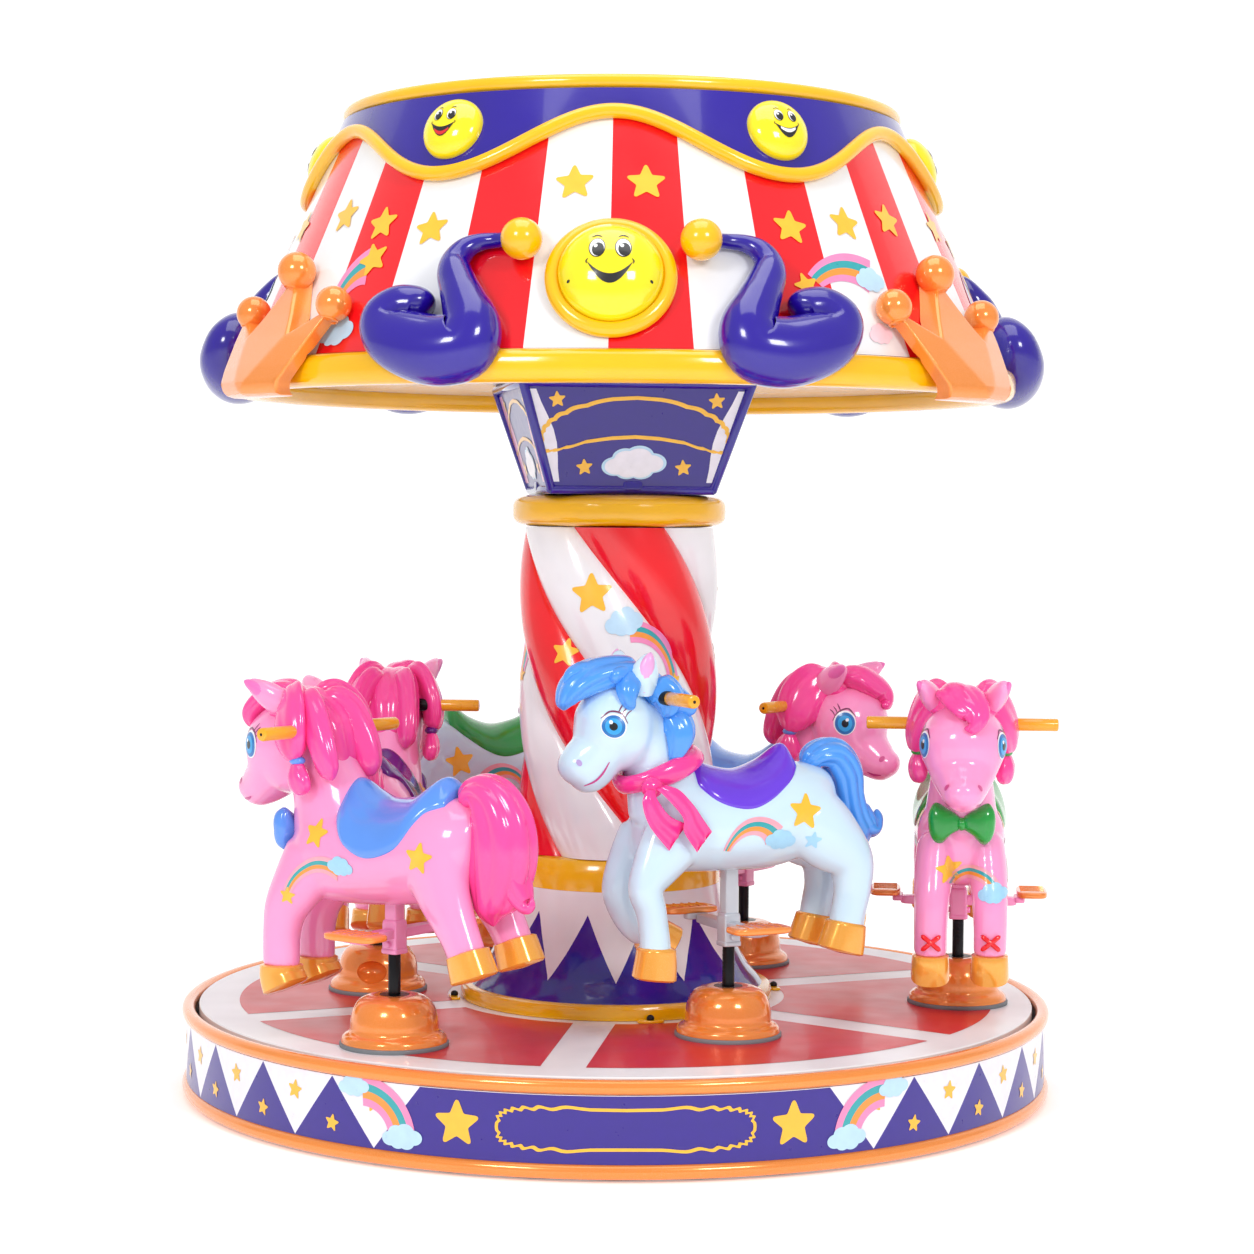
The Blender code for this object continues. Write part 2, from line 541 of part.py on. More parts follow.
TROT = {
    "torso": [(-0.280, 0, 0.570, 0.040, 0.045), (-0.245, 0, 0.570, 0.095, 0.100),
              (-0.160, 0, 0.550, 0.118, 0.132),
              (-0.020, 0, 0.535, 0.118, 0.126), (0.120, 0, 0.530, 0.114, 0.128),
              (0.220, 0, 0.530, 0.100, 0.120),
              (0.275, 0, 0.535, 0.070, 0.090), (0.302, 0, 0.540, 0.030, 0.040)],
    "neck": [(0.170, 0, 0.550, 0.085, 0.130), (0.215, 0, 0.650, 0.070, 0.100),
             (0.260, 0, 0.745, 0.066, 0.080),
             (0.290, 0, 0.820, 0.060, 0.060)],
    "head": [(0.235, 0, 0.850, 0.040, 0.050), (0.270, 0, 0.825, 0.085, 0.090),
             (0.325, 0, 0.790, 0.094, 0.104),
             (0.385, 0, 0.745, 0.074, 0.082), (0.430, 0, 0.700, 0.058, 0.064),
             (0.462, 0, 0.680, 0.050, 0.052),
             (0.485, 0, 0.668, 0.024, 0.026)],
    "mane": [(0.455, 0, 0.868, 0.030, 0.020), (0.410, 0, 0.898, 0.055, 0.034),
             (0.335, 0, 0.902, 0.075, 0.040),
             (0.250, 0, 0.895, 0.080, 0.045), (0.195, 0, 0.840, 0.074, 0.048),
             (0.178, 0, 0.770, 0.060, 0.040),
             (0.185, 0, 0.700, 0.030, 0.022)],
    "ear": [(0.290, 0.058, 0.865, 0.030, 0.026), (0.288, 0.074, 0.910, 0.026, 0.020),
            (0.285, 0.082, 0.950, 0.008, 0.008)],
    "tail": [(-0.220, 0, 0.630, 0.030, 0.030), (-0.275, 0, 0.690, 0.042, 0.036),
             (-0.345, 0, 0.670, 0.052, 0.052),
             (-0.372, 0, 0.585, 0.056, 0.056), (-0.365, 0, 0.500, 0.046, 0.046),
             (-0.378, 0, 0.438, 0.018, 0.018)],
    "saddle": [(-0.165, 0, 0.650, 0.098, 0.060), (-0.120, 0, 0.625, 0.124, 0.078),
               (-0.050, 0, 0.602, 0.128, 0.066),
               (0.040, 0, 0.605, 0.126, 0.062), (0.110, 0, 0.628, 0.112, 0.068),
               (0.145, 0, 0.640, 0.080, 0.046)],
    "legs": [
        [(0.180, 0.070, 0.480, 0.045, 0.070), (0.255, 0.072, 0.380, 0.042, 0.052),
         (0.270, 0.072, 0.330, 0.038, 0.044),
         (0.268, 0.072, 0.245, 0.036, 0.040), (0.268, 0.072, 0.236, 0.044, 0.046),
         (0.268, 0.072, 0.160, 0.050, 0.054)],
        [(0.190, -0.070, 0.480, 0.045, 0.070), (0.275, -0.072, 0.390, 0.040, 0.048),
         (0.285, -0.072, 0.345, 0.036, 0.042),
         (0.225, -0.072, 0.285, 0.034, 0.038), (0.215, -0.072, 0.275, 0.042, 0.046),
         (0.170, -0.072, 0.230, 0.046, 0.050)],
        [(-0.150, 0.070, 0.520, 0.050, 0.088), (-0.215, 0.072, 0.420, 0.044, 0.060),
         (-0.255, 0.072, 0.320, 0.038, 0.046),
         (-0.262, 0.072, 0.275, 0.046, 0.056), (-0.275, 0.072, 0.200, 0.050, 0.060)],
        [(-0.140, -0.070, 0.520, 0.050, 0.088), (-0.200, -0.072, 0.420, 0.044, 0.060),
         (-0.235, -0.072, 0.320, 0.038, 0.046),
         (-0.242, -0.072, 0.275, 0.046, 0.056), (-0.255, -0.072, 0.200, 0.050, 0.060)]],
    "bow": (0.245, 0.0, 0.640, 0.090, 0.092, 0.034),
    "bar": (0.225, 0.846),
    "belly": 0.415,
}


def horse_mould(name, shape, mat):
    """One hollow-cast horse as its outer shape, with a hole for its bar and a seat
    for its bracket."""
    torso = limb_object("torso", shape["torso"], 10)
    bits = [limb_object("neck", shape["neck"], 8), limb_object("head", shape["head"], 8),
            limb_object("mane", shape["mane"], 8), limb_object("tail", shape["tail"], 6),
            limb_object("saddle", shape["saddle"], 10)]
    for s in (1, -1):
        bits.append(limb_object("ear", shape["ear"], 5, s))
    for leg in shape["legs"]:
        bits.append(limb_object("leg", leg, 6))
    x, y, z, a, b, c = shape["bow"]
    bits.append(ball("bow", (x, y, z), (a, b, c), level=1))
    bx, bz = shape["bar"]
    low = shape["belly"]
    hole = rod("bar_hole", (bx, -0.2, bz), (bx, 0.2, bz), (BAR_R + GAP) / math.cos(math.pi / 12))
    seat = box("bracket_seat", (-0.026 - GAP, -0.026 - GAP, low - 0.3),
              (0.026 + GAP, 0.026 + GAP, low + 0.02 + GAP))
    whole = joined(name, torso, bits, mat, (), CUTTERS)
    thin = whole.modifiers.new("simplify", 'DECIMATE')
    thin.ratio = 0.55
    obj = joined(name, whole, [], mat, [hole, seat], CUTTERS)
    for helper in (hole, seat):
        bpy.data.objects.remove(helper, do_unlink=True)
    mesh = obj.data
    bpy.data.objects.remove(obj, do_unlink=True)
    return mesh


def handlebar(shape):
    """Bar through the neck with a grip each side, as a turned mesh along Y."""
    bx, bz = shape["bar"]
    prof = [(0, 0.245), (GRIP_R, 0.245), (GRIP_R, 0.110), (BAR_R, 0.108), (BAR_R, -0.108),
            (GRIP_R, -0.110), (GRIP_R, -0.245), (0, -0.245)]
    obj = turned_helper("bar", prof, 10, Matrix.Translation((bx, 0, bz)) @ Matrix.Rotation(-math.pi / 2, 4, 'X'))
    mesh = obj.data
    bpy.data.objects.remove(obj, do_unlink=True)
    return mesh


def carrier(shape):
    """Post, bracket and footboards of a horse, in one welded piece."""
    low = shape["belly"]
    core = rod("post", (0, 0, POST_LOW), (0, 0, 0.240), POST_R)
    bits = [box("bracket", (-0.026, -0.026, 0.222), (0.026, 0.026, low + 0.02)),
            box("arm", (-0.020, -0.205, 0.258), (0.020, 0.205, 0.284)),
            box("foot_a", (-0.125, 0.150, 0.280), (0.100, 0.236, 0.300)),
            box("foot_b", (-0.125, -0.236, 0.280), (0.100, -0.150, 0.300))]
    obj = joined("carrier", core, bits, None, (), CUTTERS)
    mesh = obj.data
    bpy.data.objects.remove(obj, do_unlink=True)
    return mesh


def bell_mesh():
    """Bell-shaped bearing cover with the bore for the post and an oval hand hole."""
    prof = [(0, 0.125), (0.050, 0.123), (0.085, 0.110), (0.103, 0.080), (0.109, 0.040), (0.126, 0.026),
            (0.133, 0.012), (0.133, 0.0003), (0, 0.0003)]
    core = turned_helper("bell", prof, 16, Matrix.Identity(4))
    bore = rod("bore", (0, 0, -0.05), (0, 0, 0.3), POST_R + 0.0006)
    hand = ball("hand_hole", (-0.112, 0, 0.062), (0.045, 0.042, 0.030), level=1)
    obj = joined("bell", core, [], None, [bore, hand], CUTTERS)
    mesh = obj.data
    for helper in (obj, bore, hand):
        bpy.data.objects.remove(helper, do_unlink=True)
    return mesh


def horses():
    """Six bells on the floor and six horses that rise and fall on their posts."""
    moulds = {"gallop": (GALLOP, horse_mould("gallop_mould", GALLOP, PINK)),
              "trot": (TROT, horse_mould("trot_mould", TROT, BLUE))}
    bars = {k: handlebar(v[0]) for k, v in moulds.items()}
    carriers = {k: carrier(v[0]) for k, v in moulds.items()}
    bell = bell_mesh()
    for name, r, az, kind in HORSES:
        turn = Matrix.Rotation(math.radians(az + 180), 4, 'Z')
        spot = Matrix.Translation(around(az, r, FLOOR_TOP)) @ turn
        rider = bpy.data.objects.new("slide_" + name, None)
        rider.empty_display_size = 0.1
        PARTS.objects.link(rider)
        rider.matrix_world = spot
        add_mesh("bell_" + name, bell, ORANGE, place=spot)
        for part, mesh, mat in (("horse_", moulds[kind][1], None), ("handlebar_", bars[kind], GRIP),
                                ("carrier_", carriers[kind], BLACK)):
            obj = add_mesh(part + name, mesh, mat)
            obj.parent = rider


platform()
floor_and_column()
canopy()
canopy_trims()
horses()
bpy.context.view_layer.update()
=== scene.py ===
"""Children's fairground carousel: the finished look of every piece, fitted over the frame."""

import math

import bmesh
import bpy
import numpy as np
from bpy.props import FloatProperty, FloatVectorProperty, PointerProperty
from mathutils import Matrix, Vector


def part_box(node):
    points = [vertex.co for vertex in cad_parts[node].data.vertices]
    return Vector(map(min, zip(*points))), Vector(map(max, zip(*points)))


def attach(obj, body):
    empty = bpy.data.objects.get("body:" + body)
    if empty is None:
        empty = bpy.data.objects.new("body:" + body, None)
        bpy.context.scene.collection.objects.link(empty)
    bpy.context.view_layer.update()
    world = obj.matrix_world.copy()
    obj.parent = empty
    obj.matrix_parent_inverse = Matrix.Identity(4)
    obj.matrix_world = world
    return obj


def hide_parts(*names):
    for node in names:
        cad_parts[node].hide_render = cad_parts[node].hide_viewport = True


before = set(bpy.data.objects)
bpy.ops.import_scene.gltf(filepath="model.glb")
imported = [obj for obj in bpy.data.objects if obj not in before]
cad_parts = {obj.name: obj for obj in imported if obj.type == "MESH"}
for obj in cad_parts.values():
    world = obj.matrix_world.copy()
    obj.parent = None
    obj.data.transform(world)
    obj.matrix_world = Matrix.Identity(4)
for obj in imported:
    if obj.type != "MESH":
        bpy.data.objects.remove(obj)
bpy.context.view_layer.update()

bl_info = {
    "name": "Fairground Carousel",
    "version": (1, 0, 0),
    "blender": (4, 5, 0),
    "location": "View3D > Sidebar > Carousel",
    "description": "Builds a small six-horse carousel: platform, twisted column, canopy and horses",
    "category": "Object",
}


def span(name):
    """Lowest and highest z of a CAD node."""
    low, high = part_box(name)
    return low[2], high[2]


def middle(name):
    """Height of the middle of a CAD node."""
    return sum(span(name)) / 2


def outer_r(name):
    """Radius of a round CAD node."""
    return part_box(name)[1][0]


# Sizes in metres, angles in degrees from the front (-Y) towards +X

FLOOR_TOP = span("floor_disc")[1]
PLATFORM_R = outer_r("upper_rim")
SKIRT_TURN, FRONT_HALF, FLAGS, PRINT_Z = 1.3, 24.6, 25, 0.122
FLAG = (360 - 2 * FRONT_HALF) / FLAGS
FOOT_LOW, FOOT_HIGH = 0.275, 0.545
COL_LOW, COL_HIGH, TWIST = 0.627, 1.487, 172.0
SIGN_HALF, SIGN_INSET, SIGN_TURN = (0.225, 0.310), 0.010, 9.0
EAVE_Z, EAVE_R, TOP_Z, TOP_R = 1.825, 1.043, 2.573, 0.712
SLOPE = (EAVE_R - TOP_R) / (TOP_Z - EAVE_Z)
TILT = math.atan(SLOPE)
CANOPY_TURN, STRIPES, STRIPE_START = -1.4, 32, -1.6
SHELL_TOP = span("canopy_shell")[1]
TOP_HALF = 0.0175
TRIM_MEAN, TRIM_SWING = 2.400, 0.072
LAMP_Z, FACE_LAMP_Z, CROWN_AZ = 2.064, 2.440, 54
THIRDS = (0, 120, 240)
INNER_R, OUTER_R = 0.645, 0.910
BORE_R, BOARD_Y = 0.0162, 0.193
PHOTO_PX, FOCAL_PX, SENSOR_MM = 1254.0, 2755.0, 36.0
CAMERA_AT, PITCH, YAW, ROLL = (0, -7.350, 1.520), -0.0407, 0.0031, 0.0072


def linear(code):
    """sRGB hex to a linear RGBA colour."""
    c = np.array([int(code[i:i + 2], 16) / 255 for i in (1, 3, 5)])
    c = np.where(c <= 0.04045, c / 12.92, ((c + 0.055) / 1.055) ** 2.4)
    return (*(float(v) for v in c), 1.0)


def colour_prop(name, words, code):
    """A colour of the settings, from its hex code."""
    return FloatVectorProperty(name=name, description=words, subtype='COLOR', size=4, min=0, max=1,
                               default=linear(code))


# Materials

def node(mat, kind, links=(), **settings):
    """Add a node: settings starting with in_ go to inputs by name, the rest are attributes."""
    n = mat.node_tree.nodes.new(kind)
    for key, value in settings.items():
        if not key.startswith("in_"):
            setattr(n, key, value)
    for key, value in settings.items():
        if key.startswith("in_"):
            name = key[3:].replace("_", " ")
            n.inputs[int(name) if name.isdigit() else name].default_value = value
    for target, (source, socket) in links:
        mat.node_tree.links.new(source.outputs[socket], n.inputs[target])
    return n


def principled(name, **inputs):
    """A new material and its main node, with the node's inputs set by name."""
    mat = bpy.data.materials.new(name)
    mat.use_nodes = True
    bsdf = mat.node_tree.nodes["Principled BSDF"]
    for key, value in inputs.items():
        bsdf.inputs[key.replace("_", " ")].default_value = value
    return mat, bsdf


def noise(mat, where, scale, detail):
    """Noise in the object's own metres."""
    return node(mat, "ShaderNodeTexNoise", [("Vector", (where, "Object"))], in_Scale=scale, in_Detail=detail)


def two_tone(mat, source, *stops):
    """A ramp over a noise between two stops, each a place and a colour."""
    ramp = node(mat, "ShaderNodeValToRGB", [("Fac", (source, "Fac"))])
    for element, (place, colour) in zip(ramp.color_ramp.elements, stops):
        element.position, element.color = place, (*colour[:3], 1.0)
    return ramp


def shell_paint(name, colour, rough=0.14, peel=0.03, mottle=0.05, metal=0.0, coat=0.6, flake=0.0, sss=0.0):
    """Sprayed and polished paint. Low noise tints the colour, a fine noise gives the
    orange peel of a sprayed coat, and a third one dulls the gloss where hands rub it."""
    mat, bsdf = principled(name, Metallic=metal, IOR=1.5, Coat_Weight=coat, Coat_Roughness=0.05)
    if sss:
        bsdf.inputs["Subsurface Weight"].default_value = sss
        bsdf.inputs["Subsurface Radius"].default_value = (0.02, 0.015, 0.01)
        bsdf.inputs["Subsurface Scale"].default_value = 0.05
    links = mat.node_tree.links
    where = node(mat, "ShaderNodeTexCoord")
    dark = [c * (1 - mottle * 2.2) for c in colour[:3]]
    tint = two_tone(mat, noise(mat, where, 3.5, 3.0), (0.32, dark), (0.62, colour))
    base = tint.outputs["Color"]
    if flake:
        # Pearl flakes are under 0.1 mm, so they are drawn 1.5 mm wide to show at all
        cells = node(mat, "ShaderNodeTexVoronoi", [("Vector", (where, "Object"))], in_Scale=650.0)
        light = (*(min(1.0, c + flake) for c in colour[:3]), 1.0)
        pearl_mix = node(mat, "ShaderNodeMix", [("Factor", (cells, "Distance")), (6, (tint, "Color"))],
                         data_type='RGBA', in_7=light)
        base = pearl_mix.outputs[2]
    links.new(base, bsdf.inputs["Base Color"])
    gloss = node(mat, "ShaderNodeMapRange", [("Value", (noise(mat, where, 9.0, 5.0), "Fac"))], in_1=0.3,
                 in_2=0.75, in_3=rough, in_4=rough + 0.10)
    links.new(gloss.outputs[0], bsdf.inputs["Roughness"])
    bump = node(mat, "ShaderNodeBump", [("Height", (noise(mat, where, 140.0, 2.0), "Fac"))], in_Strength=peel,
                in_Distance=0.002)
    links.new(bump.outputs["Normal"], bsdf.inputs["Normal"])
    return mat


def print_film(name, colour):
    """Printed vinyl film: even ink with a faint dot grain, and a satin skin."""
    mat, bsdf = principled(name, Coat_Weight=0.4, Coat_Roughness=0.08)
    links = mat.node_tree.links
    grain = noise(mat, node(mat, "ShaderNodeTexCoord"), 40.0, 4.0)
    tint = two_tone(mat, grain, (0.3, [c * 0.93 for c in colour[:3]]), (0.65, colour))
    links.new(tint.outputs["Color"], bsdf.inputs["Base Color"])
    gloss = node(mat, "ShaderNodeMapRange", [("Value", (grain, "Fac"))], in_3=0.24, in_4=0.36)
    links.new(gloss.outputs[0], bsdf.inputs["Roughness"])
    return mat


def steel_paint(name, colour, rough=0.4, metal=0.5):
    """Brush-painted steel: a soft gloss with scuffs where the film has worn."""
    return shell_paint(name, colour, rough, 0.12, 0.08, metal, 0.1)


INK = {}


def ink(code):
    """One printed film for each ink colour."""
    if code not in INK:
        INK[code] = print_film("film_" + code[1:].lower(), linear(code))
    return INK[code]


PAINT = {}


def paint(key, **extra):
    """One paint for each named finish of the settings."""
    if key not in PAINT:
        colours = bpy.context.scene.carousel
        PAINT[key] = shell_paint("gelcoat_" + key, tuple(getattr(colours, key)), **extra)
    return PAINT[key]


# Shapes

def grid(points, wrap_rows=False, wrap_cols=False, zone=0):
    """Quads over a grid of points of two parameters, closed along either one."""
    m, n = points.shape[:2]
    k = np.arange(m * n).reshape(m, n)
    if wrap_rows:
        k = np.vstack([k, k[:1]])
    if wrap_cols:
        k = np.hstack([k, k[:, :1]])
    quads = np.stack([k[:-1, :-1], k[:-1, 1:], k[1:, 1:], k[1:, :-1]], axis=-1).reshape(-1, 4)
    zones = np.broadcast_to(zone, (k.shape[0] - 1, k.shape[1] - 1)).reshape(-1)
    return points.reshape(-1, 3), quads, zones


def facing(part, direction):
    """Turn an open sheet's faces towards a direction, one for all or one for each point."""
    v, q, z = part
    a, b, c = v[q[:, 0]], v[q[:, 1]], v[q[:, 2]]
    d = v[q[:, 3]]
    normal = np.cross(c - a, d - b)
    away = np.asarray(direction, float)
    if away.ndim == 2:
        away = away[q[:, 0]]
    if float((normal * away).sum()) < 0:
        q = q[:, ::-1]
    return v, q, z


def moved(part, matrix):
    """A part carried by a matrix."""
    m = np.array(matrix)
    return part[0] @ m[:3, :3].T + m[:3, 3], part[1], part[2]


def mesh_of(name, parts, closed=True, crease=38.0):
    """One mesh from parts: points by foreach_set, doubles merged, normals set on solids."""
    count = np.cumsum([0] + [len(p[0]) for p in parts[:-1]])
    verts = np.concatenate([p[0] for p in parts])
    quads = np.concatenate([p[1] + c for p, c in zip(parts, count)])
    zones = np.concatenate([p[2] for p in parts])
    me = bpy.data.meshes.new(name)
    me.vertices.add(len(verts))
    me.vertices.foreach_set("co", verts.astype(np.float32).ravel())
    me.loops.add(quads.size)
    me.loops.foreach_set("vertex_index", quads.astype(np.int32).ravel())
    me.polygons.add(len(quads))
    me.polygons.foreach_set("loop_start", np.arange(0, quads.size, 4, dtype=np.int32))
    me.polygons.foreach_set("material_index", zones.astype(np.int32))
    me.update(calc_edges=True)
    bm = bmesh.new()
    bm.from_mesh(me)
    bmesh.ops.remove_doubles(bm, verts=bm.verts, dist=0.00002)
    if closed:
        bmesh.ops.recalc_face_normals(bm, faces=bm.faces)
    bm.to_mesh(me)
    bm.free()
    me.shade_smooth()
    me.set_sharp_from_angle(angle=math.radians(crease))
    return me


def pearl():
    """Orange pearl of the rims, bells, crowns and footboards."""
    return paint("orange", metal=0.25, flake=0.08)


def repaint(name, mat):
    """Give a CAD node that stays in view a finished material."""
    mats = bpy.data.objects[name].data.materials
    mats.clear()
    mats.append(mat)


def circle(count):
    """Angles of one full turn."""
    return np.linspace(0, 2 * np.pi, count, endpoint=False)


def unit(v):
    """Directions scaled to a length of one."""
    return v / np.linalg.norm(v, axis=-1, keepdims=True)


def soft(wave, share):
    """A sine or cosine raised to a share, with its sign kept: the sides of a superellipse."""
    return np.sign(wave) * np.abs(wave) ** share


def capped(rings, axis=0):
    """Rings with one more at each end, drawn in to the middle of the last one."""
    ends = [rings.take([k], axis) for k in (0, -1)]
    first, last = (np.broadcast_to(end.mean(axis=(0, 1)), end.shape) for end in ends)
    return np.concatenate([first, rings, last], axis=axis)


def put(parts, matrix):
    """Several parts carried by one matrix."""
    return [moved(part, matrix) for part in parts]


def linked(name, data):
    """An object of some data, put in the scene."""
    obj = bpy.data.objects.new(name, data)
    bpy.context.scene.collection.objects.link(obj)
    return obj


def baked(obj):
    """The mesh of a work object with its modifiers applied. The object goes."""
    bpy.context.view_layer.update()
    mesh = bpy.data.meshes.new_from_object(obj.evaluated_get(bpy.context.evaluated_depsgraph_get()))
    bpy.data.objects.remove(obj, do_unlink=True)
    return mesh


def piece(name, parts, mats, body, replaces=(), closed=True, crease=38.0):
    """A finished object that rides on a body and stands for CAD nodes."""
    obj = linked(name, mesh_of(name, parts, closed, crease))
    for mat in mats:
        obj.data.materials.append(mat)
    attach(obj, body)
    if replaces:
        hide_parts(*replaces)
    return obj


def around(az, r, z):
    """Points at an angle in degrees from the front (-Y) towards +X."""
    a = np.radians(az)
    a, r, z = np.broadcast_arrays(a, r, z)
    return np.stack([r * np.sin(a), -r * np.cos(a), z], axis=-1)


def stand(az, r, z, heading=0.0):
    """Frame at a place round the axis, turned with it."""
    return Matrix.Translation(around(az, r, z)) @ Matrix.Rotation(math.radians(az + heading), 4, 'Z')


def spun(profile, cols=120, closed=False, zone=0):
    """A profile of (radius, height) spun about Z."""
    p = np.asarray(profile, float)
    az = np.linspace(0, 360, cols, endpoint=False)
    return grid(around(az[None, :], p[:, :1], p[:, 1:]), closed, True, zone)


def spline(rows, count):
    """Catmull-Rom curve through rows of numbers."""
    c = np.asarray(rows, float)
    e = np.vstack([2 * c[0] - c[1], c, 2 * c[-1] - c[-2]])
    t = np.linspace(0, len(c) - 1, count)
    i = np.minimum(t.astype(int), len(c) - 2)
    f = (t - i)[:, None]
    a, b, g, h = e[i], e[i + 1], e[i + 2], e[i + 3]
    return 0.5 * (2 * b + (g - a) * f + (2 * a - 5 * b + 4 * g - h) * f ** 2
                  + (3 * b - a - 3 * g + h) * f ** 3)


def tube_section(half, power=2.0, count=24):
    """A superellipse about (0, 0)."""
    a = circle(count)
    return half * soft(np.cos(a), 2 / power), half * soft(np.sin(a), 2 / power)


def ring_tube(r, z, half, power=2.2, cols=200, count=20):
    """A tube bent into a level ring: its section is a superellipse."""
    a, b = tube_section(half, power, count)
    return spun(np.stack([r + a, z + b], axis=1), cols, True)


def limb(rows, steps=36, cols=28, tips=(0.12, 0.12), power=2.0, side=(0, 1, 0), ridge=0.0, strands=0,
         sweep=0.0, flip=1.0, zone=0):
    """A soft limb along a spline. Each row is x, y, z, half width, half depth. The section
    is a superellipse, shrunk at both tips as a quarter circle, with ridges that sweep
    round it as strands of hair do."""
    s = spline(rows, steps)
    p = s[:, :3] * (1, flip, 1)
    w, d = np.maximum(s[:, 3], 0.001), np.maximum(s[:, 4], 0.001)
    t = unit(np.gradient(p, axis=0))
    q = np.asarray(side, float) * (1, flip, 1)
    q = unit(q - t * (t @ q)[:, None])
    up = np.cross(t, q)
    u = np.linspace(0, 1, steps)
    cap = np.ones(steps)
    if tips[0]:
        cap = np.minimum(cap, np.sqrt(1 - np.clip((tips[0] - u) / tips[0], 0, 1) ** 2))
    if tips[1]:
        cap = np.minimum(cap, np.sqrt(1 - np.clip((u - 1 + tips[1]) / tips[1], 0, 1) ** 2))
    ca, sa = tube_section(1.0, power, cols)
    groove = 1 + ridge * (np.abs(np.sin(strands * circle(cols)[None, :] / 2 + sweep * u[:, None])) - 0.7)
    across = (w * cap)[:, None] * ca[None, :] * groove
    deep = (d * cap)[:, None] * sa[None, :] * groove
    pts = p[:, None, :] + q[:, None, :] * across[..., None] + up[:, None, :] * deep[..., None]
    if tips[1] == 0:
        pts = np.concatenate([pts, np.broadcast_to(p[-1:, None], (1, cols, 3))])
    return grid(pts, False, True, zone)


def egg(centre, half, rows=18, cols=28):
    """An ellipsoid of three half sizes."""
    t, a = np.linspace(0, np.pi, rows)[:, None], circle(cols)[None, :]
    pts = np.stack([np.sin(t) * np.cos(a) * half[0], np.sin(t) * np.sin(a) * half[1],
                    np.cos(t) * half[2] * np.ones_like(a)], axis=-1)
    return grid(pts + np.asarray(centre, float), False, True)


def slab(centre, half, power=5.0, zone=0):
    """A rounded board: a superellipsoid, boxy as its power grows."""
    t, a, share = np.linspace(-np.pi / 2, np.pi / 2, 20)[:, None], circle(40)[None, :], 2 / power
    pts = np.stack([soft(np.cos(t), share) * soft(np.cos(a), share) * half[0],
                    soft(np.cos(t), share) * soft(np.sin(a), share) * half[1],
                    soft(np.sin(t), share) * half[2] * np.ones_like(a)], axis=-1)
    return grid(pts + np.asarray(centre, float), False, True, zone)


def bar_mesh(a, b, r, cols=20, bead=0.15):
    """A straight round bar with eased ends."""
    a, b = np.asarray(a, float), np.asarray(b, float)
    length = np.linalg.norm(b - a)
    n = (b - a) / length
    side = unit(np.cross(n, (0, 0, 1) if abs(n[2]) < 0.9 else (1, 0, 0)))
    up = np.cross(n, side)
    ease = bead * r
    stops = np.array([(0, 0), (0, r - ease), (ease * 0.3, r - ease * 0.3), (ease, r)])
    prof = np.vstack([stops, [(length - s, q) for s, q in stops[::-1]]])
    t = circle(cols)[None, :, None]
    pts = (a + n * prof[:, :1])[:, None] + prof[:, 1][:, None, None] * (side * np.cos(t) + up * np.sin(t))
    return grid(pts, False, True)


# Flat motifs, as (u, v) grids in metres

def from_outline(radius):
    """A filled shape from its radius at each angle."""
    a, t = circle(len(radius)), np.linspace(0, 1, 7)[:, None]
    return np.stack([t * radius * np.cos(a), t * radius * np.sin(a)], axis=-1)


def star_uv(size):
    """A five-point star: between a tip and a waist the radius follows a straight line,
    then a short running mean rounds it."""
    a = (circle(100) - np.pi / 2) % (2 * np.pi / 5)
    a = np.minimum(a, 2 * np.pi / 5 - a)
    bx, by = 0.46 * math.cos(math.pi / 5), 0.46 * math.sin(math.pi / 5)
    r = by / (np.cos(a) * by + np.sin(a) * (1 - bx))
    r = (np.roll(r, 2) + np.roll(r, 1) * 2 + r * 2 + np.roll(r, -1) * 2 + np.roll(r, -2)) / 8
    return from_outline(size * r / r.max())


def cloud_uv(size, squash=1.0):
    """A cloud: the farthest reach of six circles at each angle."""
    a = circle(120)
    d = np.stack([np.cos(a), np.sin(a)], axis=1)
    best = np.full(len(a), 0.2)
    for x, y, r in ((-0.62, -0.10, 0.40), (-0.28, 0.26, 0.42), (0.16, 0.34, 0.46), (0.60, 0.06, 0.42),
                    (0.22, -0.22, 0.42), (-0.22, -0.26, 0.38)):
        along = d @ np.array([x, y])
        disc = r * r - x * x - y * y + along ** 2
        best = np.maximum(best, np.where(disc > 0, along + np.sqrt(np.maximum(disc, 0)), 0))
    return from_outline(size * best) * (1.0, squash)


def oval_uv(a, b):
    """An ellipse."""
    t, k = circle(48), np.linspace(0, 1, 6)[:, None]
    return np.stack([k * a * np.cos(t), k * b * np.sin(t)], axis=-1)


def stroke_uv(rows, width):
    """A painted line along a spline, a third as wide at both ends."""
    s = spline(rows, 40)
    t = unit(np.gradient(s, axis=0))
    n = np.stack([-t[:, 1], t[:, 0]], axis=1)
    w = width / 2 * (0.35 + 0.65 * np.sin(np.pi * np.linspace(0, 1, 40)))
    k = np.linspace(-1, 1, 5)[:, None, None]
    return s[None] + n[None] * w[None, :, None] * k


def scalloped_uv(scallop, half, shares, steps, rise=0.0, sag=0.0):
    """Frame line round a softened oblong. Scallops push it out at each angle, the steps
    give its width, and its ends sag."""
    a = circle(len(scallop))
    cx, cy = soft(np.cos(a), shares[0]), soft(np.sin(a), shares[1])
    lines = []
    for k in steps:
        x, y = cx * (half[0] + scallop - k), cy * (half[1] + scallop - k) + rise - sag * cx ** 2
        lines.append(np.stack([x, y], axis=-1))
    return np.stack(lines)


